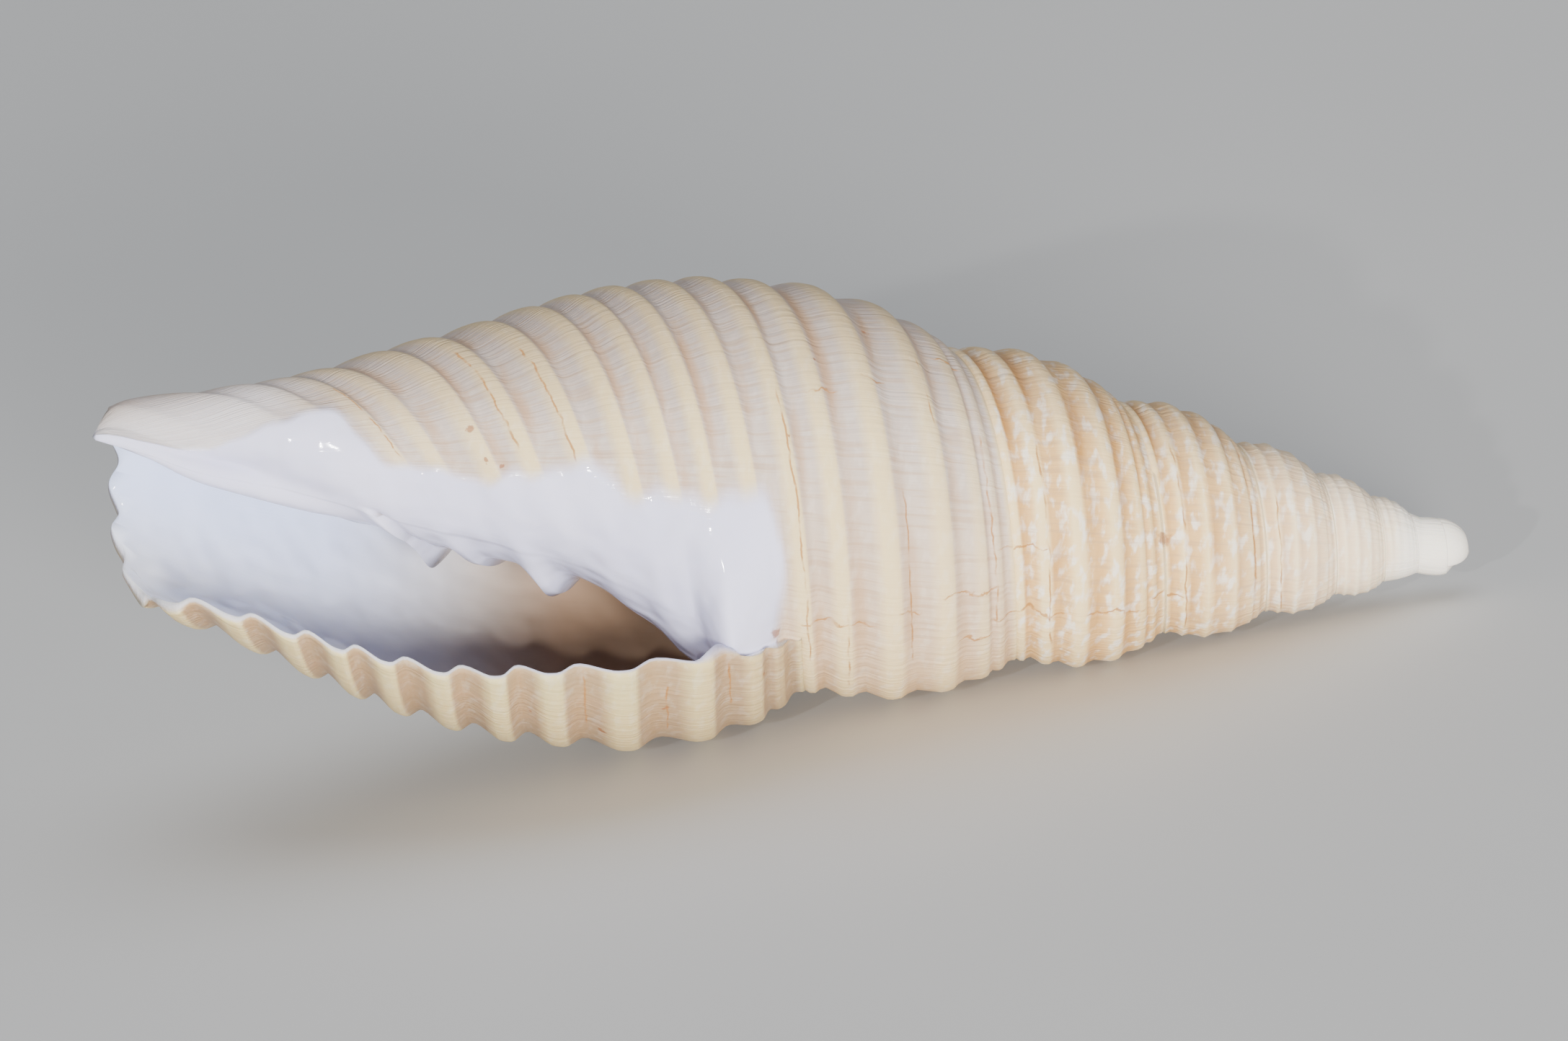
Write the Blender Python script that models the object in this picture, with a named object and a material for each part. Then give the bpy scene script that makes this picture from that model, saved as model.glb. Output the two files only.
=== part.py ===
"""A small straw-coloured mitre shell, grown as one piece, lying on its flank where it balances.

The shell is a ribbon wound round the axis. A column is one growth line of that ribbon, counted in
turns back from the lip, and a row is one spiral line, labelled by its depth over the suture's depth.
Depths run along the axis from the cone's virtual apex. All sizes are in metres.
"""
import bisect
import math

import bmesh
import bpy
import numpy as np
from mathutils import Matrix, Vector

MM = 0.001

# Growth of the suture, the line where each whorl meets the one before
GROWTH = 1.44
SUTURE_DEPTH = 11.45 * MM
SUTURE_RADIUS = 3.107 * MM
RADIUS_RATE = 0.2718
RADIUS_SLOWING = 0.00845
GROWN_TURNS = 6.2

# The smooth first whorls, a blunt dome at the apex
APEX_TURNS = 8.0
APEX_DEPTH = 0.42 * MM
DOME_RADIUS = 0.46 * MM
DOME_DEPTH = 0.96 * MM
DOME_SKIRT = 1.3 * MM
DOME_SUTURE = 0.985
DOME_POWER = 1.13

# The lip, the anterior end and the wall
LIP_ANGLE = math.radians(45)
LIP_BEND_TURNS = 0.3
WALL = 0.20 * MM
WALL_AT_EDGE = 0.14 * MM
WALL_TAPER_TURNS = 0.10
WALL_TAPER_DEPTH = 1.4 * MM
LATE_SWELLING = 0.042
LATE_FRONT_SWELLING = 0.05
END_ROUNDING = 0.45 * MM
END_ROUNDED_BY = 0.40
END_ROUNDED_FROM = 0.45
END_ROUNDED_TO = 0.62
TIP_RISE = 0.24 * MM
TIP_RISE_FROM = 20.6 * MM
TIP_RISE_TO = 22.5 * MM
TIP_RISE_FROM_TURN = 0.3
TIP_RISE_TO_TURN = 0.55
TIP_CROWN = 0.05 * MM

# The cavity, as deep as it can be seen into
CAVITY_TURNS = 0.85
CAVITY_TOP = 1.085
CORNER_WIDTH = 0.07
CORNER_FILL_FROM = 0.87
CORNER_FILL_TO = 1.05
CORNER_FILL_WIDTH = 0.09
CLOSED_GAP = 0.14 * MM
FLOOR_STEP = 0.05 * MM
OUTER_CLEARANCE = 0.12 * MM
PILLAR_CLEARANCE = 0.3 * MM

# The inner lip turns smoothly into the pillar between these turns
PILLAR_FROM = 0.86
PILLAR_TO = 1.10
PILLAR_STRETCH_FROM = 2.1
PILLAR_END = 2.95

# Spiral cords
CORD_RELIEF = 0.055
FURROW_PLACE = 0.58
CORDS_FADE_TURNS = 0.4
GLAZE_FROM = 0.78
GLAZE_TO = 0.86
SUBSUTURE_BULGE = 0.135
SPIRE_BULGE = 0.172
DOME_BULGE_LOSS = 0.9

# The pose at rest, on the flank behind the lip and on the spire, where the shell balances
REST_PITCH = math.radians(14.69)
REST_ROLL = math.radians(74.125)

# How finely the solid is faceted
COLUMNS_PER_TURN = 32
ROUNDS = 10

SHELL_COLOUR = (0.78, 0.68, 0.52, 1.0)
SHELL_ROUGHNESS = 0.42
END = 9.0


class SmoothCurve:
    """A smooth curve through points set by hand, level beyond its ends."""

    def __init__(self, *points):
        self.x = np.array([point[0] for point in points], dtype=float)
        self.y = np.array([point[1] for point in points], dtype=float)
        slopes = np.diff(self.y) / np.diff(self.x)
        before = slopes[:-1]
        after = slopes[1:]
        same_way = before * after > 0
        total = np.where(same_way, before + after, 1.0)
        middle = np.where(same_way, 2 * before * after / total, 0.0)
        self.slope = np.concatenate(([slopes[0]], middle, [slopes[-1]]))

    def __call__(self, x):
        x = np.clip(x, self.x[0], self.x[-1])
        k = np.clip(np.searchsorted(self.x, x) - 1, 0, len(self.x) - 2)
        width = self.x[k + 1] - self.x[k]
        t = (x - self.x[k]) / width
        start = (1 + 2 * t) * (1 - t) ** 2 * self.y[k]
        end = t * t * (3 - 2 * t) * self.y[k + 1]
        leave = t * (1 - t) ** 2 * width * self.slope[k]
        arrive = t * t * (t - 1) * width * self.slope[k + 1]
        return start + end + leave + arrive


# Swelling of a whorl between two sutures, over the share of the way from one to the next
WHORL_BULGE = SmoothCurve((0, 0), (0.13, 0.46), (0.28, 0.85), (0.42, 1.0), (0.57, 1.0), (0.68, 0.88),
                          (0.80, 0.56), (1.0, 0.0))

# The body whorl in front of its shoulder: radius over that at the next suture
BASE_PROFILE = SmoothCurve((1.44, 1.0), (1.536, 0.957), (1.612, 0.905), (1.678, 0.844), (1.75, 0.773),
                           (1.832, 0.685), (1.928, 0.595), (2.005, 0.513), (2.102, 0.42), (2.244, 0.327),
                           (2.323, 0.243), (2.389, 0.155), (2.435, 0.09), (2.468, 0.055), (2.6, 0.045),
                           (3.0, 0.04))

# The pillar and the parietal wall above it, without their folds: radius over the suture's radius
PILLAR_PROFILE = SmoothCurve((1.44, 1.32), (1.536, 1.33), (1.612, 1.26), (1.693, 1.125), (1.751, 0.95),
                             (1.807, 0.84), (1.853, 0.73), (1.895, 0.665), (1.935, 0.62), (2.061, 0.56),
                             (2.183, 0.503), (2.30, 0.422), (2.393, 0.347), (2.488, 0.312),
                             (2.665, 0.206), (2.765, 0.136), (2.843, 0.075), (2.95, 0.05))

# How far the lip's edge lags behind a straight growth line, in turns, by depth
LIP_LAG = SmoothCurve((11.45 * MM, 0), (12.25 * MM, -0.008), (13.22 * MM, -0.011), (14.2 * MM, -0.008),
                      (15.6 * MM, 0.0), (17.2 * MM, 0.013), (18.2 * MM, 0.016), (19.9 * MM, 0.025),
                      (20.86 * MM, 0.036), (21.38 * MM, 0.065), (21.75 * MM, 0.125), (22.5 * MM, 0.13))

# Depth of the free anterior margin by turns: a corner at the lip, a shallow notch behind
ANTERIOR_DEPTH = SmoothCurve((0, 21.75 * MM), (0.125, 21.75 * MM), (0.17, 21.91 * MM),
                             (0.25, 22.03 * MM), (0.375, 22.11 * MM), (0.5, 22.26 * MM),
                             (0.6, 22.46 * MM), (0.8, 22.5 * MM), (2.0, 22.5 * MM))

# Crests of the spiral cords and the strength of each
CORDS = ((1.06, 0.7), (1.14, 0.9), (1.255, 1.0), (1.355, 1.0), (1.44, 1.0), (1.51, 1.0), (1.585, 1.0),
         (1.65, 1.0), (1.72, 1.0), (1.80, 1.0), (1.895, 1.0), (1.97, 0.9), (2.065, 0.8), (2.125, 0.7))

# Folds on the pillar: place, half width, and height over the suture's radius by turns
FOLDS = ((1.988, 0.034, SmoothCurve((0.90, 0), (1.00, 0.05), (1.125, 0.19), (1.30, 0.24))),
         (2.145, 0.026, SmoothCurve((0.95, 0), (1.04, 0.03), (1.125, 0.085), (1.25, 0.18))),
         (2.287, 0.020, SmoothCurve((0.98, 0), (1.015, 0.06), (1.125, 0.065), (1.20, 0.24))),
         (2.40, 0.020, SmoothCurve((1.06, 0), (1.125, 0.02), (1.30, 0.12))))


def ease(value, low, high):
    """Rises smoothly from 0 at low to 1 at high."""
    share = np.clip((value - low) / (high - low), 0.0, 1.0)
    return share * share * (3 - 2 * share)


def dome_share(turn):
    return np.clip((turn - GROWN_TURNS) / (APEX_TURNS - GROWN_TURNS), 0.0, 1.0)


def suture_depth(turn):
    """Depth of the suture, which shrinks by a fixed ratio each turn until the dome."""
    grown = SUTURE_DEPTH * GROWTH ** -np.minimum(turn, GROWN_TURNS)
    dome_height = SUTURE_DEPTH * GROWTH ** -GROWN_TURNS - APEX_DEPTH
    in_dome = APEX_DEPTH + dome_height * (1 - dome_share(turn)) ** DOME_POWER
    return np.where(turn > GROWN_TURNS, in_dome, grown)


def dome_radius(depth):
    """Radius of the blunt dome at a depth: round above its widest level and drawn in below."""
    above = np.clip((DOME_DEPTH - depth) / (DOME_DEPTH - APEX_DEPTH), 0.0, 1.0)
    below = np.clip((depth - DOME_DEPTH) / DOME_SKIRT, 0.0, 1.0)
    return DOME_RADIUS * np.sqrt(np.maximum(1 - above * above - below * below, 0.0))


def suture_radius(turn):
    """Radius of the suture, on the cone or on the dome, whichever is wider."""
    cone = SUTURE_RADIUS * np.exp(-RADIUS_RATE * turn - RADIUS_SLOWING * turn * turn)
    dome = DOME_SUTURE * dome_radius(suture_depth(turn))
    inside = np.where(turn > GROWN_TURNS, dome_share(turn), 0.0)
    return np.maximum(cone * (1 - ease(inside, 0.0, 0.4)), dome)


def turn_angle(turn):
    return LIP_ANGLE - 2 * math.pi * turn


def share_of_whorl(row):
    return np.log(row) / math.log(GROWTH)


def row_depth(turn, row):
    """Depth of a spiral row: that of the suture as many whorls on as the row is."""
    return suture_depth(turn - share_of_whorl(row))


def growth_line(turn, row):
    """Turns at which a growth line really crosses a row, since lines near the lip bend back."""
    bend = 1 - ease(turn, 0.0, LIP_BEND_TURNS)
    crossing = turn
    for _ in range(ROUNDS):
        crossing = (crossing + turn + LIP_LAG(row_depth(crossing, row)) * bend) / 2
    return crossing


def growth_line_at_end(turn):
    """Turns at which a growth line reaches the anterior margin."""
    bend = 1 - ease(turn, 0.0, LIP_BEND_TURNS)
    crossing = turn
    for _ in range(ROUNDS):
        crossing = (crossing + turn + LIP_LAG(ANTERIOR_DEPTH(crossing)) * bend) / 2
    return crossing


def cord_height(row):
    """1 on a cord's crest and 0 in the furrow, which lies nearer the cord in front."""
    crests = [1.0] + [crest for crest, strength in CORDS]
    k = bisect.bisect_right(crests, row) - 1
    if k >= len(crests) - 1:
        return 1.0
    share = (row - crests[k]) / (crests[k + 1] - crests[k])
    return float(np.interp(share, (0, FURROW_PLACE, 1), (1, 0, 1)))


def cord_strength(row):
    crests = [crest for crest, strength in CORDS]
    strengths = [strength for crest, strength in CORDS]
    return float(np.interp(row, crests, strengths))


def inflation(turn, row):
    """The last half turn flares a little, most of all towards its anterior end."""
    late = 1 - ease(turn, 0.1, 0.6)
    off_suture = ease(row, 1.0, 1.08)
    return 1 + late * off_suture * (LATE_SWELLING + LATE_FRONT_SWELLING * ease(row, 1.75, 2.0))


def envelope_radius(turn, row):
    """Radius over the cords' crests."""
    share = share_of_whorl(row)
    bulge = SUBSUTURE_BULGE + (SPIRE_BULGE - SUBSUTURE_BULGE) * ease(turn, 0.8, 2.0)
    bulge = bulge * (1 - DOME_BULGE_LOSS * ease(turn, 5.5, 6.4))
    upper = suture_radius(turn - share) + bulge * WHORL_BULGE(share) * suture_radius(turn)
    lower = suture_radius(turn - 1) * BASE_PROFILE(row)
    return np.where(row <= GROWTH, upper, lower) * inflation(turn, row)


def end_taper(turn, depth):
    """Rounds the anterior end of the pillar and of the whorl round it."""
    share = np.clip((depth - ANTERIOR_DEPTH(turn)) / END_ROUNDING + 1, 0.0, 1.0)
    return 1 - END_ROUNDED_BY * share ** 3 * ease(turn, END_ROUNDED_FROM, END_ROUNDED_TO)


def outer_radius(turn, row):
    """Radius of the corded outer surface, smooth under the glaze of the inner lip."""
    corded = 1 - ease(turn, GROWN_TURNS - CORDS_FADE_TURNS, GROWN_TURNS)
    if row > GROWTH:
        corded *= 1 - ease(turn, GLAZE_FROM, GLAZE_TO)
    groove = CORD_RELIEF * cord_strength(row) * (1 - cord_height(row)) * corded
    return envelope_radius(turn, row) - groove * suture_radius(turn)


def pillar_row(turn, depth):
    """Place on the pillar's profile, which is stretched so that it always ends at the tip."""
    straight = depth / suture_depth(turn)
    stretch_depth = PILLAR_STRETCH_FROM * suture_depth(turn)
    share = (depth - stretch_depth) / (ANTERIOR_DEPTH(turn) - stretch_depth)
    stretched = PILLAR_STRETCH_FROM + share * (PILLAR_END - PILLAR_STRETCH_FROM)
    return np.where(straight > PILLAR_STRETCH_FROM, stretched, straight)


def fold_height(turn, row):
    """Height of the pillar's spiral folds, which rise where it turns into the cavity."""
    height = 0.0
    for place, half_width, by_turns in FOLDS:
        across = (row - place) / half_width
        height = height + by_turns(turn) * np.exp(-across * across)
    return height


def pillar_radius(turn, depth):
    row = depth / suture_depth(turn)
    plain = PILLAR_PROFILE(pillar_row(turn, depth))
    return suture_radius(turn) * (plain + fold_height(turn, row))


def skin_radius(turn, row, depth):
    """Radius of the ribbon's outward face, outside on the shell or on the pillar within it."""
    outside = outer_radius(turn, row) * end_taper(turn, depth)
    if row <= GROWTH:
        return outside
    share = ease(turn, PILLAR_FROM, PILLAR_TO)
    skin = outside * (1 - share) + pillar_radius(turn, depth) * end_taper(turn, depth) * share
    return skin + corner_fill(turn, row, skin)


def corner_fill(turn, row, skin):
    """Glaze that fills the step between the parietal wall and the lip, round the opening's corner."""
    lip_row = np.clip(row / GROWTH, 1.0, CAVITY_TOP + CORNER_WIDTH)
    lip_radius = envelope_radius(0.0, lip_row) - CORD_RELIEF * SUTURE_RADIUS
    step = max(float(lip_radius - 0.5 * WALL_AT_EDGE - skin), 0.0)
    before = ease(turn, CORNER_FILL_FROM, 1.0)
    after = 1 - ease(turn, 1.0, CORNER_FILL_TO)
    corner = CAVITY_TOP * GROWTH
    across = ease(row, GROWTH, GROWTH + 0.04) * (1 - ease(row, corner, corner + CORNER_FILL_WIDTH))
    return step * before * after * across


def wall_thickness(turn, depth):
    """The wall thins towards the lip's edge and the anterior margin."""
    from_lip = ease(turn, 0.0, WALL_TAPER_TURNS)
    from_end = ease(ANTERIOR_DEPTH(turn) - depth, 0.0, WALL_TAPER_DEPTH)
    return WALL_AT_EDGE + (WALL - WALL_AT_EDGE) * np.minimum(from_lip, from_end)


def lining_radius(turn, row, depth):
    """Radius of the cavity's outer face."""
    scalloped = outer_radius(turn, row)
    plain = envelope_radius(turn, row) - CORD_RELIEF * suture_radius(turn)
    inside = ease(turn, 0.0, WALL_TAPER_TURNS)
    open_radius = scalloped * (1 - inside) + plain * inside - wall_thickness(turn, depth)
    corner = ease(row, CAVITY_TOP, CAVITY_TOP + CORNER_WIDTH)
    parietal = skin_radius(turn + 1, row * GROWTH, depth)
    return parietal + (open_radius - parietal) * corner


def canal_gap(turn, depth):
    """Clear width between the wall and the pillar."""
    row = depth / suture_depth(turn)
    plain = envelope_radius(turn, row) - CORD_RELIEF * suture_radius(turn)
    return plain - wall_thickness(turn, depth) - pillar_radius(turn + 1, depth)


def cavity_floor(turn):
    """Depth at which the cavity closes towards the anterior end, or the margin where it is open."""
    depth = ANTERIOR_DEPTH(turn)
    while canal_gap(turn, depth) < CLOSED_GAP and depth > suture_depth(turn) * GROWTH:
        depth -= FLOOR_STEP
    return float(depth)


def crests_and_furrows(first, last):
    """Rows of the cords' crests between two rows, with the furrow in front of each."""
    crests = [crest for crest, strength in CORDS if first < crest <= last]
    rows = [first]
    for crest in crests:
        rows.append(rows[-1] + (crest - rows[-1]) * FURROW_PLACE)
        rows.append(crest)
    return tuple(rows)


def spire_rows():
    first = CORDS[0][0]
    return (1.0,) + crests_and_furrows(first, GROWTH)


def body_rows():
    return crests_and_furrows(GROWTH, CORDS[-1][0])[1:] + (2.2, 2.3, 2.4, 2.5, 2.65)


def pillar_rows():
    """Rows on each fold's crest and foot, and a few between."""
    rows = [1.61, 1.66, 1.72, 1.78, 1.84]
    for place, half_width, by_turns in FOLDS:
        rows += [place - 1.3 * half_width, place - 0.5 * half_width, place]
        rows += [place + 0.5 * half_width]
    return tuple(rows) + (2.45, 2.55, 2.65, 2.8, 2.95, 3.1, 3.3, 3.5, 3.7)


def rows_below_shoulder(turn):
    if turn < PILLAR_FROM:
        return body_rows()
    contact = tuple(row for row in body_rows() if row < CAVITY_TOP * GROWTH - 0.01)
    return contact + (CAVITY_TOP * GROWTH,) + pillar_rows()


class ShellMesh:
    """Vertices and faces of the ribbon, its lining and the edges that join them."""

    def __init__(self):
        self.mesh = bmesh.new()

    def vertex(self, turn, depth, radius):
        angle = turn_angle(turn)
        rise = TIP_RISE * ease(depth, TIP_RISE_FROM, TIP_RISE_TO)
        rise = rise * ease(turn, TIP_RISE_FROM_TURN, TIP_RISE_TO_TURN)
        place = Vector((-depth, rise - radius * math.cos(angle), radius * math.sin(angle)))
        return self.mesh.verts.new(place)

    def face(self, *corners):
        self.mesh.faces.new(corners)

    def strip(self, left, right):
        """Faces between two lists of (row, vertex) that run the same way."""
        i = 0
        j = 0
        while i < len(left) - 1 or j < len(right) - 1:
            next_left = left[i + 1][0] if i < len(left) - 1 else math.inf
            next_right = right[j + 1][0] if j < len(right) - 1 else math.inf
            corners = [left[i][1], right[j][1]]
            if abs(next_left - next_right) < 1e-9:
                corners += [right[j + 1][1], left[i + 1][1]]
                i += 1
                j += 1
            elif next_left < next_right:
                corners.append(left[i + 1][1])
                i += 1
            else:
                corners.append(right[j + 1][1])
                j += 1
            distinct = list(dict.fromkeys(corners))
            if len(distinct) > 2:
                self.face(*distinct)


def margin_clearance(turn):
    """How far rows stay from the margin or the cavity's floor."""
    return OUTER_CLEARANCE if turn < 1 else PILLAR_CLEARANCE


def spire_part(shell, column, sutures):
    """One column from its suture to the next, which an earlier column already made."""
    turn = column / COLUMNS_PER_TURN
    points = []
    for row in spire_rows():
        crossing = growth_line(turn, row)
        shared = row == GROWTH and column >= COLUMNS_PER_TURN
        if shared:
            vertex = sutures[column - COLUMNS_PER_TURN]
        else:
            depth = row_depth(crossing, row)
            vertex = shell.vertex(crossing, depth, skin_radius(crossing, row, depth))
        points.append((row, vertex))
    return points


def base_part(shell, column):
    """One column of the ribbon from the shoulder to the anterior end or the cavity's floor."""
    turn = column / COLUMNS_PER_TURN
    floor = ANTERIOR_DEPTH(turn)
    if turn > 1:
        floor = min(floor, cavity_floor(turn - 1))
    points = []
    for row in rows_below_shoulder(turn):
        crossing = growth_line(turn, row)
        depth = row_depth(crossing, row)
        hidden = turn > 1 and row < CAVITY_TOP * GROWTH
        last = ANTERIOR_DEPTH(crossing) if turn <= 1 else floor
        if not hidden and depth < last - margin_clearance(turn):
            radius = skin_radius(crossing, row, depth)
            points.append((row, shell.vertex(crossing, depth, radius)))
    crossing = growth_line_at_end(turn)
    depth = ANTERIOR_DEPTH(crossing) if turn <= 1 else floor
    row = depth / suture_depth(crossing)
    radius = skin_radius(crossing, row, depth)
    points.append((END, shell.vertex(crossing, depth, radius)))
    return points


def lining_part(shell, column, pillar):
    """One column of the cavity's outer face, which shares its ends with the pillar."""
    turn = column / COLUMNS_PER_TURN
    points = [(CAVITY_TOP, pillar[0][1])]
    floor = cavity_floor(turn)
    is_open = floor >= ANTERIOR_DEPTH(turn)
    rows = tuple(row for row in spire_rows() if row > CAVITY_TOP + CORNER_WIDTH / 3) + body_rows()
    for row in rows:
        crossing = growth_line(turn, row)
        depth = row_depth(crossing, row)
        last = ANTERIOR_DEPTH(crossing) if is_open else floor
        if depth < last - margin_clearance(turn):
            radius = lining_radius(crossing, row, depth)
            points.append((row, shell.vertex(crossing, depth, radius)))
    if not is_open:
        points.append((END, pillar[-1][1]))
        return points, False
    crossing = growth_line_at_end(turn)
    depth = ANTERIOR_DEPTH(crossing)
    radius = lining_radius(crossing, depth / suture_depth(crossing), depth)
    points.append((END, shell.vertex(crossing, depth, radius)))
    return points, True


def by_depth(points):
    """The same points, labelled by their depth so that unlike columns can be joined."""
    return [(-vertex.co.x, vertex) for row, vertex in points]


def add_spire(shell):
    """The outer face of every whorl, from the lip up to the dome's tip."""
    last = round(APEX_TURNS * COLUMNS_PER_TURN)
    sutures = []
    columns = []
    for column in range(last + 1):
        points = spire_part(shell, column, sutures)
        sutures.append(points[0][1])
        columns.append(points)
    for left, right in zip(columns[COLUMNS_PER_TURN:], columns[COLUMNS_PER_TURN + 1:]):
        shell.strip(left, right)
    tip = sutures[last]
    for here, there in zip(sutures[last - COLUMNS_PER_TURN:], sutures[last - COLUMNS_PER_TURN + 1:-1]):
        shell.face(tip, here, there)
    shell.face(*[vertex for row, vertex in columns[last]])
    return columns


def add_body(shell, columns):
    """The body whorl and the pillar behind it, as far in as the cavity goes."""
    deepest = COLUMNS_PER_TURN + round(CAVITY_TURNS * COLUMNS_PER_TURN)
    bases = [base_part(shell, column) for column in range(deepest + 1)]
    whole = [columns[k] + bases[k] for k in range(COLUMNS_PER_TURN + 1)]
    for left, right in zip(whole, whole[1:]):
        shell.strip(left, right)
    first = bases[COLUMNS_PER_TURN]
    contact = [point for point in first if point[0] < CAVITY_TOP * GROWTH - 1e-6]
    pillars = [first[len(contact):]] + bases[COLUMNS_PER_TURN + 1:]
    for left, right in zip(pillars, pillars[1:]):
        shell.strip(left, right)
    return whole, contact, pillars


def add_lining(shell, pillars):
    """The cavity's outer face and its blind inner end."""
    linings = []
    open_columns = 0
    for column, pillar in enumerate(pillars):
        points, is_open = lining_part(shell, column, pillar)
        linings.append(points)
        open_columns += is_open
    for left, right in zip(linings, linings[1:]):
        shell.strip(left, right)
    shell.strip(by_depth(linings[-1]), by_depth(pillars[-1]))
    return linings, open_columns


def add_edges(shell, whole, contact, pillars, linings, open_columns):
    """The lip's edge, the anterior margin and the pillar's tip."""
    outer = whole[0]
    shoulder = whole[COLUMNS_PER_TURN][len(spire_rows()) - 1]
    inner = [shoulder] + contact + linings[0]
    shell.strip(by_depth(outer), by_depth(inner))
    for column in range(open_columns):
        corners = [whole[column][-1][1], whole[column + 1][-1][1]]
        corners += [linings[column + 1][-1][1], linings[column][-1][1]]
        shell.face(*dict.fromkeys(corners))
    ring = [points[-1][1] for points in whole[open_columns:]]
    ring += [points[-1][1] for points in pillars[1:open_columns + 1]]
    tip = shell.vertex(1.0, ANTERIOR_DEPTH(1.0) + TIP_CROWN, 0.0)
    for here, there in zip(ring, ring[1:] + ring[:1]):
        shell.face(tip, here, there)


def lay_down(mesh):
    """Turn the shell to its pose at rest and stand it on the ground over the origin."""
    turn = Matrix.Rotation(REST_PITCH, 4, 'Y') @ Matrix.Rotation(REST_ROLL, 4, 'X')
    bmesh.ops.transform(mesh, matrix=turn, verts=mesh.verts)
    low = Vector([min(vertex.co[axis] for vertex in mesh.verts) for axis in range(3)])
    high = Vector([max(vertex.co[axis] for vertex in mesh.verts) for axis in range(3)])
    middle = (low + high) / 2
    bmesh.ops.translate(mesh, vec=(-middle.x, -middle.y, -low.z), verts=mesh.verts)


def shell_material():
    material = bpy.data.materials.new("straw_shell")
    material.use_nodes = True
    surface = material.node_tree.nodes["Principled BSDF"]
    surface.inputs["Base Color"].default_value = SHELL_COLOUR
    surface.inputs["Roughness"].default_value = SHELL_ROUGHNESS
    surface.inputs["Metallic"].default_value = 0.0
    return material


def build_shell():
    shell = ShellMesh()
    columns = add_spire(shell)
    whole, contact, pillars = add_body(shell, columns)
    linings, open_columns = add_lining(shell, pillars)
    add_edges(shell, whole, contact, pillars, linings, open_columns)
    bmesh.ops.triangulate(shell.mesh, faces=shell.mesh.faces)
    bmesh.ops.recalc_face_normals(shell.mesh, faces=shell.mesh.faces)
    lay_down(shell.mesh)
    mesh = bpy.data.meshes.new("shell")
    shell.mesh.to_mesh(mesh)
    shell.mesh.free()
    mesh.materials.append(shell_material())
    mesh.shade_smooth()
    mesh.set_sharp_from_angle(angle=math.radians(50))
    piece = bpy.data.objects.new("shell", mesh)
    bpy.context.scene.collection.objects.link(piece)


def main():
    for item in list(bpy.data.objects):
        bpy.data.objects.remove(item, do_unlink=True)
    build_shell()


main()
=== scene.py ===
"""The looks of a small straw-coloured mitre shell: one fine mesh in place of its plain solid.

The shell is a ribbon wound round its axis. A column is one growth line, counted in turns back from
the lip, and a row is one spiral line, labelled by its depth over the suture's depth. Depths run along
the axis from the cone's virtual apex. Sizes are in metres.
"""
import math

import bmesh
import bpy
import numpy as np
from mathutils import Matrix, Vector


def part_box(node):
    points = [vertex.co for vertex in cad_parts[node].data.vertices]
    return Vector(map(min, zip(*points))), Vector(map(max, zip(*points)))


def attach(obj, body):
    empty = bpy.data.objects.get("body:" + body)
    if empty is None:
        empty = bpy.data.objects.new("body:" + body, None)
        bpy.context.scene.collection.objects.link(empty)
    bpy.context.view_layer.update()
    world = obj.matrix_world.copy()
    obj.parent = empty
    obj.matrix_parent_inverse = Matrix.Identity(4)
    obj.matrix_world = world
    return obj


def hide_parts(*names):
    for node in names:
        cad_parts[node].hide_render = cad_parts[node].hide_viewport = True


MM = 0.001

# Growth of the suture
GROWTH = 1.44
SUTURE_DEPTH = 11.45 * MM
SUTURE_RADIUS = 3.107 * MM
RADIUS_RATE = 0.2718
RADIUS_SLOWING = 0.00845
GROWN_TURNS = 6.2
LATE_SWELLING = 0.042
LATE_FRONT_SWELLING = 0.05
SWELLING_TURNS = (0.1, 0.6)
SWELLING_ROWS = (1.0, 1.08)
FRONT_SWELLING_ROWS = (1.75, 2.0)

# The smooth dome at the apex
APEX_TURNS = 8.0
APEX_DEPTH = 0.42 * MM
DOME_RADIUS = 0.46 * MM
DOME_DEPTH = 0.96 * MM
DOME_SKIRT = 1.3 * MM
DOME_SUTURE = 0.985
DOME_POWER = 1.13
CONE_FADES_BY = 0.4

# The lip, the anterior end and the wall
LIP_ANGLE = math.radians(45)
LIP_BEND_TURNS = 0.3
WALL = 0.18 * MM
WALL_AT_EDGE = 0.075 * MM
WALL_TAPER_TURNS = 0.10
WALL_TAPER_DEPTH = 1.6 * MM
MARGIN_SCALLOP = 0.16 * MM
MARGIN_FREE_TO = 0.45
MARGIN_COVERED_FROM = 0.6

# The cavity
CAVITY_TURNS = 0.85
CAVITY_TOP = 1.085
CORNER_WIDTH = 0.07
CLOSED_GAP = 0.14 * MM
FLOOR_STEP = 0.02 * MM

# The inner lip and the pillar
PILLAR_FROM = 0.86
PILLAR_TO = 1.10
PILLAR_STRETCH_FROM = 2.1
PILLAR_END = 2.95
CORNER_FILL_FROM = 0.87
CORNER_FILL_TO = 1.05
CORNER_FILL_WIDTH = 0.09
CORNER_FILL_RISE = 0.04
CORNER_FILL_START = 0.01
CORNER_FILL_POWER = 1.3
TIP_RISE = 0.24 * MM
TIP_RISE_FROM = 20.6 * MM
TIP_RISE_TO = 22.5 * MM
TIP_RISE_FROM_TURN = 0.3
TIP_RISE_TO_TURN = 0.55
TIP_CROWN = 0.05 * MM
END_ROUNDING = 0.45 * MM
END_ROUNDED_BY = 0.40
END_ROUNDED_FROM = 0.45
END_ROUNDED_TO = 0.62

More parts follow.
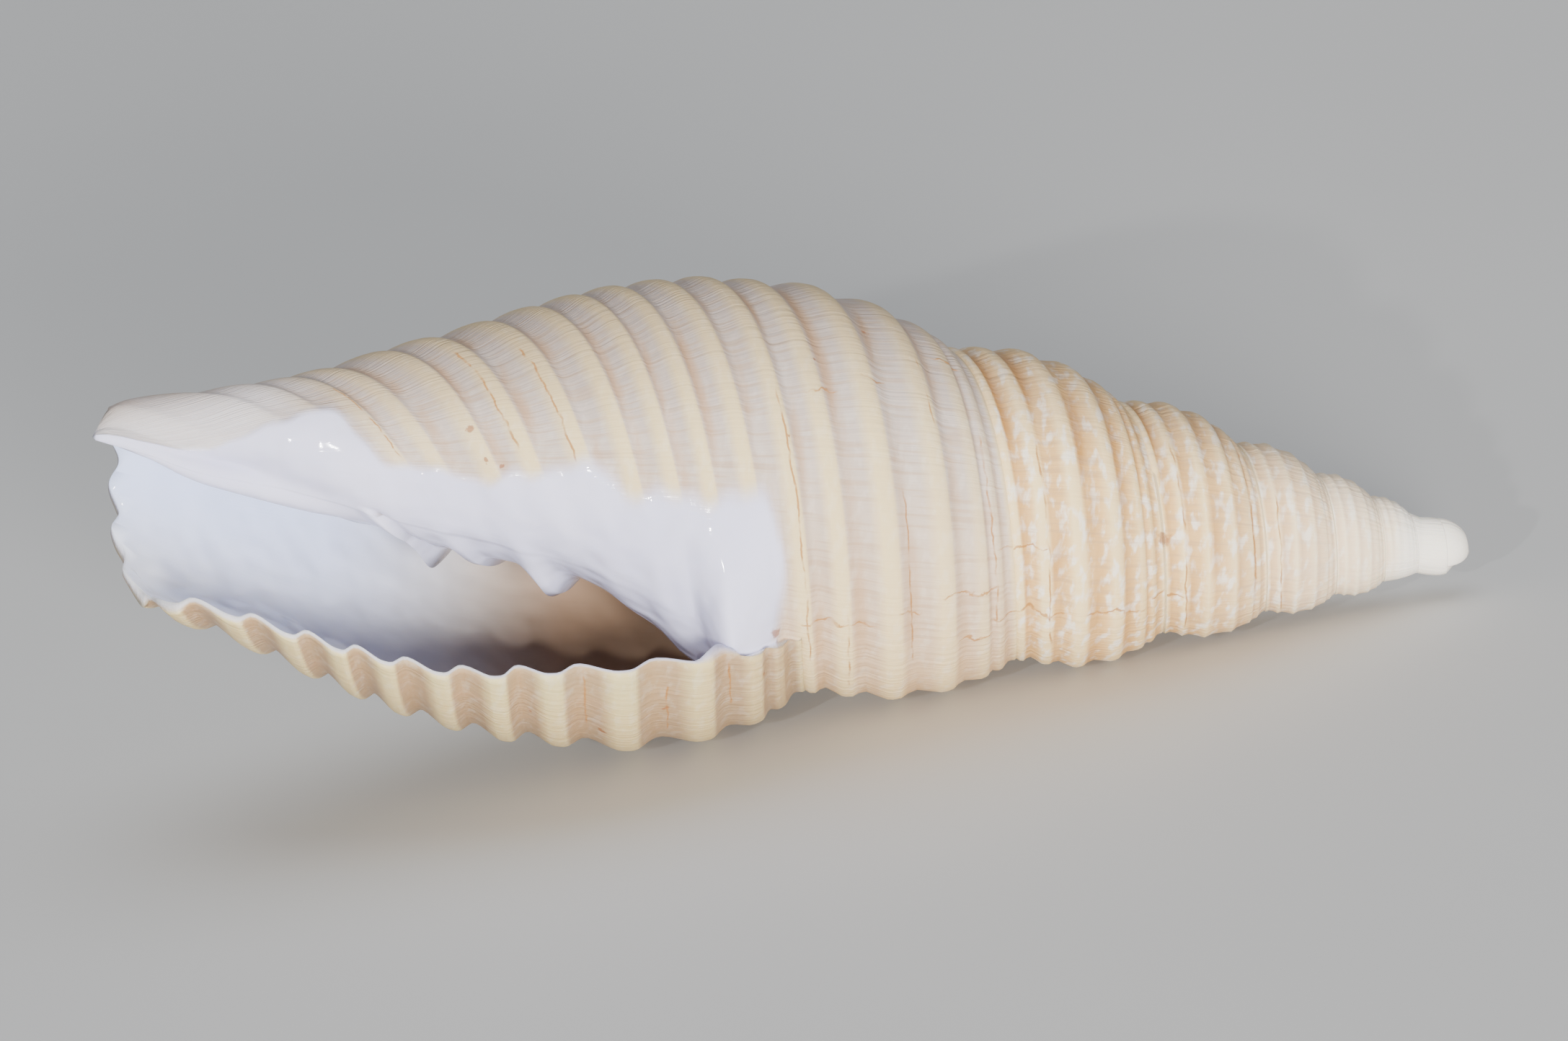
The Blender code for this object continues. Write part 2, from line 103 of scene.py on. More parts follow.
# Cords and suture
CORD_RELIEF = 0.052
CORD_RELIEF_AT_LIP = 0.066
LIP_RELIEF_TURNS = 0.35
CORDS_FADE_TURNS = 0.4
SUTURE_NOTCH = 0.016
SUTURE_NOTCH_WIDTH = 0.008
NOTCH_ON_DOME = 0.2
SUBSUTURE_BULGE = 0.135
SPIRE_BULGE = 0.172
DOME_BULGE_LOSS = 0.9
SPIRE_BULGE_TURNS = (0.8, 2.0)
DOME_BULGE_TURNS = (5.5, 6.4)
SHOULDER_SLOPE = 0.6
SHOULDER_WIDTH = 0.04

# The pose at rest, as the solid lies
REST_PITCH = math.radians(14.69)
REST_ROLL = math.radians(74.125)

# The photograph: the width of the view and how the shell stands in it
VIEW_WIDTH = 24.75 * MM
AXIS_AWAY = math.radians(10)
AXIS_DOWN = math.radians(4)
LOOK_DEPTH = 11.48 * MM
LOOK_OFFSET = 0.312 * MM
CAMERA_DISTANCE = 0.26

# How finely the mesh is divided
COLUMNS_PER_TURN = 192
ROUNDS = 12
MEDIUM_ROWS_TO_TURN = 2.8
BASE_ROWS_FROM = 2.40
BASE_ROWS_TO = 2.90
BASE_ROW_STEP = 0.02
PILLAR_ROWS_AFTER = 0.015
PILLAR_ROWS_TO = 3.9
PILLAR_ROW_STEP = 0.018
CONTACT_CLEARANCE = 0.004
LINING_ROWS_AFTER = 0.006
PLAIN_ROWS = 56
PLAIN_ROWS_AFTER = 0.012
PLAIN_ROWS_TO = 2.8
SCALLOPED_TURNS = 0.07
END_CLEARANCE = 0.05 * MM
FLOOR_CLEARANCE = 0.06 * MM
SAME_ROW = 1e-9
ARC_STEPS = 4000

# The row label that every column's last point carries
END = 9.0


class SmoothCurve:
    """A smooth curve through given points, level beyond its ends."""

    def __init__(self, *points):
        self.x = np.array([point[0] for point in points], dtype=float)
        self.y = np.array([point[1] for point in points], dtype=float)
        slopes = np.diff(self.y) / np.diff(self.x)
        before = slopes[:-1]
        after = slopes[1:]
        same_way = before * after > 0
        total = np.where(same_way, before + after, 1.0)
        middle = np.where(same_way, 2 * before * after / total, 0.0)
        self.slope = np.concatenate(([slopes[0]], middle, [slopes[-1]]))

    def __call__(self, x):
        x = np.clip(x, self.x[0], self.x[-1])
        k = np.clip(np.searchsorted(self.x, x) - 1, 0, len(self.x) - 2)
        width = self.x[k + 1] - self.x[k]
        t = (x - self.x[k]) / width
        start = (1 + 2 * t) * (1 - t) ** 2 * self.y[k]
        end = t * t * (3 - 2 * t) * self.y[k + 1]
        leave = t * (1 - t) ** 2 * width * self.slope[k]
        arrive = t * t * (t - 1) * width * self.slope[k + 1]
        return start + end + leave + arrive


# Swelling of a whorl between two sutures, over the share of the way from one to the next
WHORL_BULGE = SmoothCurve((0, 0), (0.13, 0.46), (0.28, 0.85), (0.42, 1.0), (0.57, 1.0), (0.68, 0.88),
                          (0.80, 0.56), (1.0, 0.0))

# Height of the surface from one cord's crest, at 0, to the next one in front of it, at 1
CORD_PROFILE = SmoothCurve((0, 1.0), (0.07, 0.985), (0.17, 0.84), (0.30, 0.54), (0.43, 0.22),
                           (0.55, 0.02), (0.60, 0.0), (0.67, 0.10), (0.76, 0.48), (0.86, 0.90),
                           (0.93, 1.0), (1.0, 1.0))

# The body whorl in front of its shoulder: radius over that at the next suture
BASE_PROFILE = SmoothCurve((1.44, 1.0), (1.536, 0.957), (1.612, 0.905), (1.678, 0.844), (1.75, 0.773),
                           (1.832, 0.685), (1.928, 0.595), (2.005, 0.513), (2.102, 0.42), (2.244, 0.327),
                           (2.323, 0.243), (2.389, 0.155), (2.435, 0.09), (2.468, 0.055), (2.6, 0.045),
                           (3.0, 0.04))

# The pillar and the parietal wall above it, without their folds: radius over the suture's radius
PILLAR_PROFILE = SmoothCurve((1.44, 1.32), (1.536, 1.33), (1.612, 1.26), (1.693, 1.125), (1.751, 0.95),
                             (1.807, 0.84), (1.853, 0.73), (1.895, 0.665), (1.935, 0.62), (2.061, 0.56),
                             (2.183, 0.503), (2.30, 0.422), (2.393, 0.347), (2.488, 0.312),
                             (2.665, 0.206), (2.765, 0.136), (2.843, 0.075), (2.95, 0.05))

# How far the lip's edge lags behind a straight growth line, in turns, by depth
LIP_LAG = SmoothCurve((11.45 * MM, 0), (12.25 * MM, -0.008), (13.22 * MM, -0.011), (14.2 * MM, -0.008),
                      (15.6 * MM, 0.0), (17.2 * MM, 0.013), (18.2 * MM, 0.016), (19.9 * MM, 0.025),
                      (20.86 * MM, 0.036), (21.38 * MM, 0.065), (21.75 * MM, 0.125), (22.5 * MM, 0.13))

# Depth of the free anterior margin by turns
ANTERIOR_DEPTH = SmoothCurve((0, 21.75 * MM), (0.125, 21.75 * MM), (0.17, 21.91 * MM),
                             (0.25, 22.03 * MM), (0.375, 22.11 * MM), (0.5, 22.26 * MM),
                             (0.6, 22.46 * MM), (0.8, 22.5 * MM), (2.0, 22.5 * MM))

# Turns at which the glaze beside the aperture ends, by depth
GLAZE_EDGE = SmoothCurve((11.8 * MM, 0.95), (12.24 * MM, 0.872), (13.5 * MM, 0.877), (14.45 * MM, 0.878),
                         (14.6 * MM, 0.868), (14.84 * MM, 0.852), (15.33 * MM, 0.852),
                         (15.8 * MM, 0.860), (16.2 * MM, 0.867), (16.54 * MM, 0.882),
                         (17.0 * MM, 0.863), (17.75 * MM, 0.862), (18.12 * MM, 0.847),
                         (18.5 * MM, 0.80), (19.1 * MM, 0.735), (19.6 * MM, 0.75),
                         (20.8 * MM, 0.79), (22.5 * MM, 0.80))

# Depth at which the glaze starts below the suture, by turns
GLAZE_TOP = SmoothCurve((0.84, 12.3 * MM), (0.875, 12.2 * MM), (0.90, 12.05 * MM), (0.925, 11.87 * MM),
                        (1.0, 11.85 * MM))

# Depth at which the glaze starts where the lip joins the whorl before it
GLAZE_FROM_DEPTH = 11.85 * MM

# How softly the glaze ends, beside the aperture in turns and below the suture in depth
GLAZE_FADE_IN = -0.012
GLAZE_FADE_OUT = 0.014
GLAZE_TOP_FADE_IN = -0.10 * MM
GLAZE_TOP_FADE_OUT = 0.16 * MM

# How much softer its edge is in the relief, how far it fills the furrows and the turns it reaches
GLAZE_SOFTNESS_IN_RELIEF = 4.0
GLAZE_FILLS_CORDS = 0.9
GLAZE_TURNS = 1.2

# Waves of the glaze's edge: height in turns, pace by millimetres of depth, and start
GLAZE_WAVES = ((0.004, 5.1, 0.0), (0.003, 11.7, 1.0))

# Shares of the way from one crest to the next over which the colours of cord and furrow change
CORD_FRONT = (0.12, 0.34)
CORD_BACK = (0.80, 0.86)
FURROW_START = (0.42, 0.62)
FURROW_END = (0.70, 0.84)

# Where the cavity's colours, the pale anterior end and the painted shade in the groove set in
CAVITY_BEHIND_PILLAR = (1.12, 1.30)
CAVITY_BEHIND_LIP = (0.0, 0.012)
PALE_DEPTHS = (18.8 * MM, 20.4 * MM)
PALE_TURNS = (0.5, 0.7)
GROOVE_TURNS = (0.985, 1.0)

# Crests of the spiral cords and the strength of each
CORDS = ((1.0, 0.9), (1.032, 0.3), (1.062, 0.7), (1.14, 0.9), (1.255, 1.0), (1.355, 1.0), (1.43, 1.0),
         (1.51, 1.0), (1.585, 1.0), (1.65, 1.0), (1.72, 1.0), (1.80, 1.0), (1.895, 1.0), (1.97, 0.9),
         (2.065, 0.8), (2.125, 0.6), (2.20, 0.45), (2.28, 0.3), (2.40, 0.2), (2.9, 0.0))
CORD_ROWS = np.array([crest for crest, strength in CORDS])
CORD_STRENGTHS = np.array([strength for crest, strength in CORDS])

# Where the groove beside the thin fold lies, and its half width; its dark colour is painted shade
GROOVE_ROW = 2.262
GROOVE_WIDTH = 0.012

# Folds on the pillar: place, half width, and height over the suture's radius by turns
FOLDS = ((1.988, 0.030, SmoothCurve((0.90, 0), (1.00, 0.05), (1.125, 0.19), (1.30, 0.24))),
         (2.145, 0.020, SmoothCurve((0.95, 0), (1.04, 0.03), (1.125, 0.085), (1.25, 0.18))),
         (2.287, 0.010, SmoothCurve((0.98, 0), (1.015, 0.08), (1.125, 0.08), (1.20, 0.24), (1.5, 0.27))),
         (2.275, 0.032, SmoothCurve((1.10, 0), (1.19, 0.13), (1.27, 0.13), (1.36, 0))),
         (GROOVE_ROW, GROOVE_WIDTH, SmoothCurve((0.97, 0), (1.01, -0.05), (1.125, -0.05), (1.20, 0))),
         (2.40, 0.014, SmoothCurve((1.06, 0), (1.125, 0.02), (1.30, 0.12))))

# Cracks along growth lines: turn, first row and last row
AXIAL_CRACKS = ((0.978, 1.29, 1.44), (0.950, 1.04, 1.15), (0.985, 1.00, 1.05), (1.980, 1.30, 1.44),
                (1.982, 1.06, 1.235), (1.976, 1.00, 1.04), (2.976, 1.36, 1.44), (1.906, 1.34, 1.44),
                (0.908, 1.00, 1.03), (1.004, 1.04, 1.13), (0.784, 1.31, 1.37), (0.772, 1.21, 1.255),
                (0.724, 1.04, 1.09), (0.964, 1.20, 1.24), (3.42, 1.1, 1.4), (0.35, 1.15, 1.5))

# Cracks in the furrows: row, first turn and last turn
SPIRAL_CRACKS = ((1.425, 0.79, 1.02), (1.216, 0.86, 1.02), (1.345, 0.97, 1.06), (1.135, 0.74, 0.80),
                 (1.340, 1.80, 2.03), (1.040, 0.80, 0.99), (1.345, 2.76, 3.05), (1.052, 2.72, 3.0),
                 (1.345, 3.80, 4.08), (1.905, 0.68, 0.83), (1.812, 0.70, 0.89), (2.120, 0.69, 0.84),
                 (1.310, 0.0, 0.06), (1.194, 0.0, 0.075), (1.104, 0.0, 0.05), (1.51, 0.30, 0.42))

# Brown specks: turn, row and radius
SPECKS = ((0.064, 1.288, 0.07 * MM), (0.148, 1.568, 0.09 * MM), (0.048, 1.388, 0.05 * MM),
          (0.040, 1.196, 0.04 * MM), (0.016, 1.056, 0.05 * MM), (0.990, 1.492, 0.10 * MM),
          (2.892, 1.428, 0.12 * MM), (0.804, 1.972, 0.06 * MM), (0.712, 1.212, 0.05 * MM),
          (0.692, 1.124, 0.03 * MM), (0.756, 1.336, 0.03 * MM), (0.824, 1.420, 0.03 * MM),
          (0.848, 1.972, 0.03 * MM), (0.856, 1.948, 0.03 * MM), (0.15, 1.90, 0.08 * MM))


def ease(value, low, high):
    """Rises smoothly from 0 at low to 1 at high."""
    share = np.clip((value - low) / (high - low), 0.0, 1.0)
    return share * share * (3 - 2 * share)


def dome_share(turn):
    return np.clip((turn - GROWN_TURNS) / (APEX_TURNS - GROWN_TURNS), 0.0, 1.0)


def suture_depth(turn):
    grown = SUTURE_DEPTH * GROWTH ** -np.minimum(turn, GROWN_TURNS)
    dome_height = SUTURE_DEPTH * GROWTH ** -GROWN_TURNS - APEX_DEPTH
    in_dome = APEX_DEPTH + dome_height * (1 - dome_share(turn)) ** DOME_POWER
    return np.where(turn > GROWN_TURNS, in_dome, grown)


def dome_radius(depth):
    above = np.clip((DOME_DEPTH - depth) / (DOME_DEPTH - APEX_DEPTH), 0.0, 1.0)
    below = np.clip((depth - DOME_DEPTH) / DOME_SKIRT, 0.0, 1.0)
    return DOME_RADIUS * np.sqrt(np.maximum(1 - above * above - below * below, 0.0))


def suture_radius(turn):
    cone = SUTURE_RADIUS * np.exp(-RADIUS_RATE * turn - RADIUS_SLOWING * turn * turn)
    dome = DOME_SUTURE * dome_radius(suture_depth(turn))
    inside = np.where(turn > GROWN_TURNS, dome_share(turn), 0.0)
    return np.maximum(cone * (1 - ease(inside, 0.0, CONE_FADES_BY)), dome)


def turn_angle(turn):
    return LIP_ANGLE - 2 * math.pi * turn


def share_of_whorl(row):
    return np.log(row) / math.log(GROWTH)


def row_depth(turn, row):
    return suture_depth(turn - share_of_whorl(row))


def cord_share(row):
    """How far a row lies from a cord's crest to the next crest in front of it, from 0 to 1."""
    k = np.clip(np.searchsorted(CORD_ROWS, row, side="right") - 1, 0, len(CORD_ROWS) - 2)
    return np.clip((row - CORD_ROWS[k]) / (CORD_ROWS[k + 1] - CORD_ROWS[k]), 0.0, 1.0)


def cord_height(row):
    """1 on a cord's crest, falling gently towards the anterior and steeply on its other side."""
    return CORD_PROFILE(cord_share(row))


def cord_strength(row):
    return np.interp(row, CORD_ROWS, CORD_STRENGTHS)


def margin_depth(turn):
    """Depth of the anterior margin, drawn back a little where a cord runs out over it."""
    plain = ANTERIOR_DEPTH(turn)
    row = plain / suture_depth(turn)
    free = 1 - ease(turn, MARGIN_FREE_TO, MARGIN_COVERED_FROM)
    return plain - MARGIN_SCALLOP * (0.5 + 0.5 * np.cos(2 * math.pi * cord_share(row))) * free


def growth_line(turn, row):
    """Turns at which a growth line really crosses a row, since lines near the lip bend back."""
    bend = 1 - ease(turn, 0.0, LIP_BEND_TURNS)
    crossing = turn + np.zeros_like(row)
    for _ in range(ROUNDS):
        crossing = (crossing + turn + LIP_LAG(row_depth(crossing, row)) * bend) / 2
    return crossing


def growth_line_at_end(turn):
    bend = 1 - ease(turn, 0.0, LIP_BEND_TURNS)
    crossing = turn
    for _ in range(ROUNDS):
        crossing = (crossing + turn + LIP_LAG(margin_depth(crossing)) * bend) / 2
    return crossing


def inflation(turn, row):
    """The last part of the body whorl swells a little more than the cone."""
    late = 1 - ease(turn, *SWELLING_TURNS)
    off_suture = ease(row, *SWELLING_ROWS)
    front = ease(row, *FRONT_SWELLING_ROWS)
    return 1 + late * off_suture * (LATE_SWELLING + LATE_FRONT_SWELLING * front)


def envelope_radius(turn, row):
    """Radius over the cords' crests."""
    share = share_of_whorl(row)
    bulge = SUBSUTURE_BULGE + (SPIRE_BULGE - SUBSUTURE_BULGE) * ease(turn, *SPIRE_BULGE_TURNS)
    bulge = bulge * (1 - DOME_BULGE_LOSS * ease(turn, *DOME_BULGE_TURNS))
    upper = suture_radius(turn - share) + bulge * WHORL_BULGE(share) * suture_radius(turn)
    lower = suture_radius(turn - 1) * BASE_PROFILE(row)
    return np.where(row <= GROWTH, upper, lower) * inflation(turn, row)


def glaze_cover(turn, depth, softness=1.0):
    """1 under the smooth glaze of the inner lip and 0 on the corded surface."""
    ragged = sum(height * np.sin(depth / MM * pace + start) for height, pace, start in GLAZE_WAVES)
    beside = ease(turn - GLAZE_EDGE(depth) + ragged, GLAZE_FADE_IN * softness, GLAZE_FADE_OUT)
    below = ease(depth - GLAZE_TOP(turn), GLAZE_TOP_FADE_IN, GLAZE_TOP_FADE_OUT)
    return beside * below


def cord_fading(turn):
    """1 where the whorls carry cords, falling to 0 at the smooth dome."""
    return 1 - ease(turn, GROWN_TURNS - CORDS_FADE_TURNS, GROWN_TURNS)


def suture_notch(turn, row, corded):
    """The fine step down into the suture on either side of it."""
    spire = ease(turn, 0.99, 1.01)
    from_suture = np.minimum(row - 1, np.where(spire > 0.5, GROWTH - row, END))
    notch = SUTURE_NOTCH * np.exp(-np.maximum(from_suture, 0) / SUTURE_NOTCH_WIDTH)
    return notch * (NOTCH_ON_DOME + (1 - NOTCH_ON_DOME) * corded)


def outer_radius(turn, row, depth):
    """Radius of the corded outer surface, with the glaze that covers part of it."""
    corded = cord_fading(turn)
    glaze = np.where(turn < GLAZE_TURNS, glaze_cover(turn, depth, GLAZE_SOFTNESS_IN_RELIEF), 0.0)
    at_lip = 1 - ease(turn, 0.0, LIP_RELIEF_TURNS)
    relief = CORD_RELIEF + (CORD_RELIEF_AT_LIP - CORD_RELIEF) * at_lip
    filled = 1 - GLAZE_FILLS_CORDS * glaze
    groove = relief * cord_strength(row) * (1 - cord_height(row)) * corded * filled
    notch = suture_notch(turn, row, corded)
    rounding = shoulder_rounding(row) * glaze
    radius = envelope_radius(turn, row) - (groove + notch + rounding) * suture_radius(turn)
    return radius * end_taper(turn, depth)


def shoulder_rounding(row):
    """Takes the edge off the whorl's shoulder, where the glaze runs over it."""
    away = np.abs(row - GROWTH) / SHOULDER_WIDTH
    return SHOULDER_SLOPE * SHOULDER_WIDTH * np.log1p(np.exp(-away))


def end_taper(turn, depth):
    """Rounds the anterior end of the pillar and of the whorl round it."""
    share = np.clip((depth - ANTERIOR_DEPTH(turn)) / END_ROUNDING + 1, 0.0, 1.0)
    return 1 - END_ROUNDED_BY * share ** 3 * ease(turn, END_ROUNDED_FROM, END_ROUNDED_TO)


def pillar_row(turn, depth):
    """The row whose pillar radius holds here, stretched so that the pillar ends at the margin."""
    straight = depth / suture_depth(turn)
    stretch_depth = PILLAR_STRETCH_FROM * suture_depth(turn)
    share = (depth - stretch_depth) / (ANTERIOR_DEPTH(turn) - stretch_depth)
    stretched = PILLAR_STRETCH_FROM + share * (PILLAR_END - PILLAR_STRETCH_FROM)
    return np.where(straight > PILLAR_STRETCH_FROM, stretched, straight)


def fold_height(turn, row):
    height = np.zeros_like(row)
    for place, half_width, by_turns in FOLDS:
        across = (row - place) / half_width
        height = height + by_turns(turn) * np.exp(-across * across)
    return height


def pillar_radius(turn, depth):
    row = depth / suture_depth(turn)
    plain = PILLAR_PROFILE(pillar_row(turn, depth))
    return suture_radius(turn) * (plain + fold_height(turn, row)) * end_taper(turn, depth)


def skin_radius(turn, row, depth):
    """Radius of the ribbon's outward face, outside on the shell or on the pillar within it."""
    outside = outer_radius(turn, row, depth)
    share = ease(turn, PILLAR_FROM, PILLAR_TO) * (row > GROWTH)
    skin = outside * (1 - share) + pillar_radius(turn, depth) * share
    return skin + corner_fill(turn, row, skin)


def corner_fill(turn, row, skin):
    """Glaze that fills the step between the parietal wall and the lip, round the opening's corner."""
    lip_row = np.clip(row / GROWTH, 1.0, CAVITY_TOP + CORNER_WIDTH)
    lip_radius = envelope_radius(0.0, lip_row) - CORD_RELIEF_AT_LIP * suture_radius(0.0)
    step = np.maximum(lip_radius - 0.5 * WALL_AT_EDGE - skin, 0.0)
    before = ease(turn, CORNER_FILL_FROM, 1.0) ** CORNER_FILL_POWER
    after = 1 - ease(turn, 1.0, CORNER_FILL_TO)
    corner = CAVITY_TOP * GROWTH
    rising = ease(row, GROWTH, GROWTH + CORNER_FILL_RISE)
    falling = 1 - ease(row, corner + CORNER_FILL_START, corner + CORNER_FILL_WIDTH)
    return step * before * after * (rising * falling)


def wall_thickness(turn, depth):
    from_lip = ease(turn, 0.0, WALL_TAPER_TURNS)
    from_end = ease(ANTERIOR_DEPTH(turn) - depth, 0.0, WALL_TAPER_DEPTH)
    return WALL_AT_EDGE + (WALL - WALL_AT_EDGE) * np.minimum(from_lip, from_end)


def lining_radius(turn, row, depth):
    scalloped = outer_radius(turn, row, depth)
    plain = envelope_radius(turn, row) - CORD_RELIEF * suture_radius(turn)
    inside = ease(turn, 0.0, WALL_TAPER_TURNS)
    open_radius = scalloped * (1 - inside) + plain * inside - wall_thickness(turn, depth)
    corner = ease(row, CAVITY_TOP, CAVITY_TOP + CORNER_WIDTH)
    parietal = skin_radius(turn + 1, row * GROWTH, depth)
    return parietal + (open_radius - parietal) * corner


def canal_gap(turn, depth):
    row = depth / suture_depth(turn)
    plain = envelope_radius(turn, row) - CORD_RELIEF * suture_radius(turn)
    return plain - wall_thickness(turn, depth) - pillar_radius(turn + 1, depth)


def cavity_floor(turn):
    """Depth at which the cavity closes towards the anterior end, or the margin where it is open."""
    depths = np.arange(float(margin_depth(turn)), float(suture_depth(turn)) * GROWTH, -FLOOR_STEP)
    clear = np.nonzero(canal_gap(turn, depths) >= CLOSED_GAP)[0]
    return float(depths[clear[0]]), bool(clear[0] == 0)


def rows_between_crests(shares, low, high):
    """Rows at the given shares of the way between each two neighbouring crests."""
    rows = []
    for start, end in zip(CORD_ROWS[:-1], CORD_ROWS[1:]):
        rows += [start + share * (end - start) for share in shares]
    rows = np.array(rows)
    return rows[(rows > low + SAME_ROW) & (rows < high - SAME_ROW)]


# Shares of the way between two crests at which a column has its rows
FINE_SHARES = (0, 0.05, 0.12, 0.22, 0.34, 0.46, 0.57, 0.66, 0.73, 0.79, 0.85, 0.91, 0.96)
MEDIUM_SHARES = (0, 0.12, 0.34, 0.57, 0.73, 0.85)
COARSE_SHARES = (0, 0.34, 0.73)


def spire_rows(turn):
    """Rows from one suture to the next, fewer on the small whorls."""
    if turn < 1:
        shares = FINE_SHARES
    elif turn < MEDIUM_ROWS_TO_TURN:
        shares = MEDIUM_SHARES
    else:
        shares = COARSE_SHARES
    return np.concatenate(([1.0], rows_between_crests(shares, 1.0, GROWTH), [GROWTH]))


def body_rows():
    cord_rows = rows_between_crests(FINE_SHARES, GROWTH, BASE_ROWS_FROM)
    return np.concatenate((cord_rows, np.arange(BASE_ROWS_FROM, BASE_ROWS_TO, BASE_ROW_STEP)))


def pillar_rows():
    return np.arange(CAVITY_TOP * GROWTH + PILLAR_ROWS_AFTER, PILLAR_ROWS_TO, PILLAR_ROW_STEP)


class ShellMesh:
    """Points with what the material needs to know of each, and the faces that join them."""

    def __init__(self):
        self.places = []
        self.marks = []
        self.faces = []

    def point(self, turn, row, depth, radius, inside=0.0):
        angle = turn_angle(turn)
        rise = TIP_RISE * ease(depth, TIP_RISE_FROM, TIP_RISE_TO)
        rise = rise * ease(turn, TIP_RISE_FROM_TURN, TIP_RISE_TO_TURN)
        self.places.append((-depth, rise - radius * math.cos(angle), radius * math.sin(angle)))
        self.marks.append((turn, row, depth, inside))
        return len(self.places) - 1

    def points(self, turns, rows, depths, radii, inside=0.0):
        return [(float(row), self.point(float(turn), float(row), float(depth), float(radius), inside))
                for turn, row, depth, radius in zip(turns, rows, depths, radii)]

    def strip(self, left, right):
        """Faces between two lists of (row, point) that run the same way."""
        i = 0
        j = 0
        last_i = len(left) - 1
        last_j = len(right) - 1
        while i < last_i or j < last_j:
            next_left = left[i + 1][0] if i < last_i else math.inf
            next_right = right[j + 1][0] if j < last_j else math.inf
            corners = [left[i][1], right[j][1]]
            if abs(next_left - next_right) < SAME_ROW:
                corners += [right[j + 1][1], left[i + 1][1]]
                i += 1
                j += 1
            elif next_left < next_right:
                corners.append(left[i + 1][1])
                i += 1
            else:
                corners.append(right[j + 1][1])
                j += 1
            distinct = list(dict.fromkeys(corners))
            if len(distinct) > 2:
                self.faces.append(distinct)


def spire_part(shell, column, sutures):
    """One column from its suture to the next, which an earlier column already made."""
    turn = column / COLUMNS_PER_TURN
    rows = spire_rows(turn)
    wound_on = column >= COLUMNS_PER_TURN
    if wound_on:
        rows = rows[:-1]
    crossing = growth_line(turn, rows)
    depths = row_depth(crossing, rows)
    points = shell.points(crossing, rows, depths, outer_radius(crossing, rows, depths))
    if wound_on:
        points.append((GROWTH, sutures[column - COLUMNS_PER_TURN]))
    return points


def base_part(shell, column):
    """One column of the ribbon from the shoulder to the anterior end or the cavity's floor."""
    turn = column / COLUMNS_PER_TURN
    rows = body_rows()
    if turn > 1:
        rows = np.concatenate(([CAVITY_TOP * GROWTH], pillar_rows()))
    elif turn == 1:
        contact = rows[rows < CAVITY_TOP * GROWTH - CONTACT_CLEARANCE]
        rows = np.concatenate((contact, [CAVITY_TOP * GROWTH], pillar_rows()))
    inside = 1.0 if turn > 1 else 0.0
    crossing = growth_line(turn, rows)
    depths = row_depth(crossing, rows)
    if turn > 1:
        floor = min(float(ANTERIOR_DEPTH(turn)), cavity_floor(turn - 1)[0])
        kept = depths < floor - FLOOR_CLEARANCE
        end = turn
    else:
        kept = depths < margin_depth(crossing) - END_CLEARANCE
        end = float(growth_line_at_end(turn))
        floor = float(margin_depth(end))
    rows = rows[kept]
    depths = depths[kept]
    crossing = crossing[kept]
    points = shell.points(crossing, rows, depths, skin_radius(crossing, rows, depths), inside)
    last_row = floor / float(suture_depth(end))
    last_radius = float(skin_radius(end, np.array(last_row), floor))
    points.append((END, shell.point(end, last_row, floor, last_radius, inside)))
    return points


def lining_rows(turn):
    """Rows that follow the cords near the lip and plain ones deeper in."""
    scalloped = np.concatenate((spire_rows(0), body_rows()))
    plain = np.geomspace(CAVITY_TOP + PLAIN_ROWS_AFTER, PLAIN_ROWS_TO, PLAIN_ROWS)
    rows = scalloped if turn < SCALLOPED_TURNS else plain
    return rows[rows > CAVITY_TOP + LINING_ROWS_AFTER]


def lining_part(shell, column, pillar):
    """One column of the cavity's outer face, sharing its corners with the pillar where they meet."""
    turn = column / COLUMNS_PER_TURN
    floor, is_open = cavity_floor(turn)
    rows = lining_rows(turn)
    crossing = growth_line(turn, rows)
    depths = row_depth(crossing, rows)
    limit = margin_depth(crossing) if is_open else floor
    kept = depths < limit - END_CLEARANCE
    rows = rows[kept]
    depths = depths[kept]
    crossing = crossing[kept]
    radii = lining_radius(crossing, rows, depths)
    points = [(CAVITY_TOP, pillar[0][1])] + shell.points(crossing, rows, depths, radii, 1.0)
    if not is_open:
        points.append((END, pillar[-1][1]))
        return points, False
    end = float(growth_line_at_end(turn))
    depth = float(margin_depth(end))
    row = np.array(depth / float(suture_depth(end)))
    radius = float(lining_radius(end, row, depth))
    points.append((END, shell.point(end, float(row), depth, radius, 1.0)))
    return points, True


def by_depth(shell, points):
    """The same points, labelled by their depth so that unlike columns can be joined."""
    return [(-shell.places[point][0], point) for row, point in points]


def add_spire(shell):
    last = round(APEX_TURNS * COLUMNS_PER_TURN)
    sutures = []
    columns = []
    for column in range(last + 1):
        points = spire_part(shell, column, sutures)
        sutures.append(points[0][1])
        columns.append(points)
    for left, right in zip(columns[COLUMNS_PER_TURN:], columns[COLUMNS_PER_TURN + 1:]):
        shell.strip(left, right)
    tip = sutures[last]
    for here, there in zip(sutures[last - COLUMNS_PER_TURN:], sutures[last - COLUMNS_PER_TURN + 1:-1]):
        shell.faces.append((tip, here, there))
    shell.faces.append([point for row, point in columns[last]])
    return columns


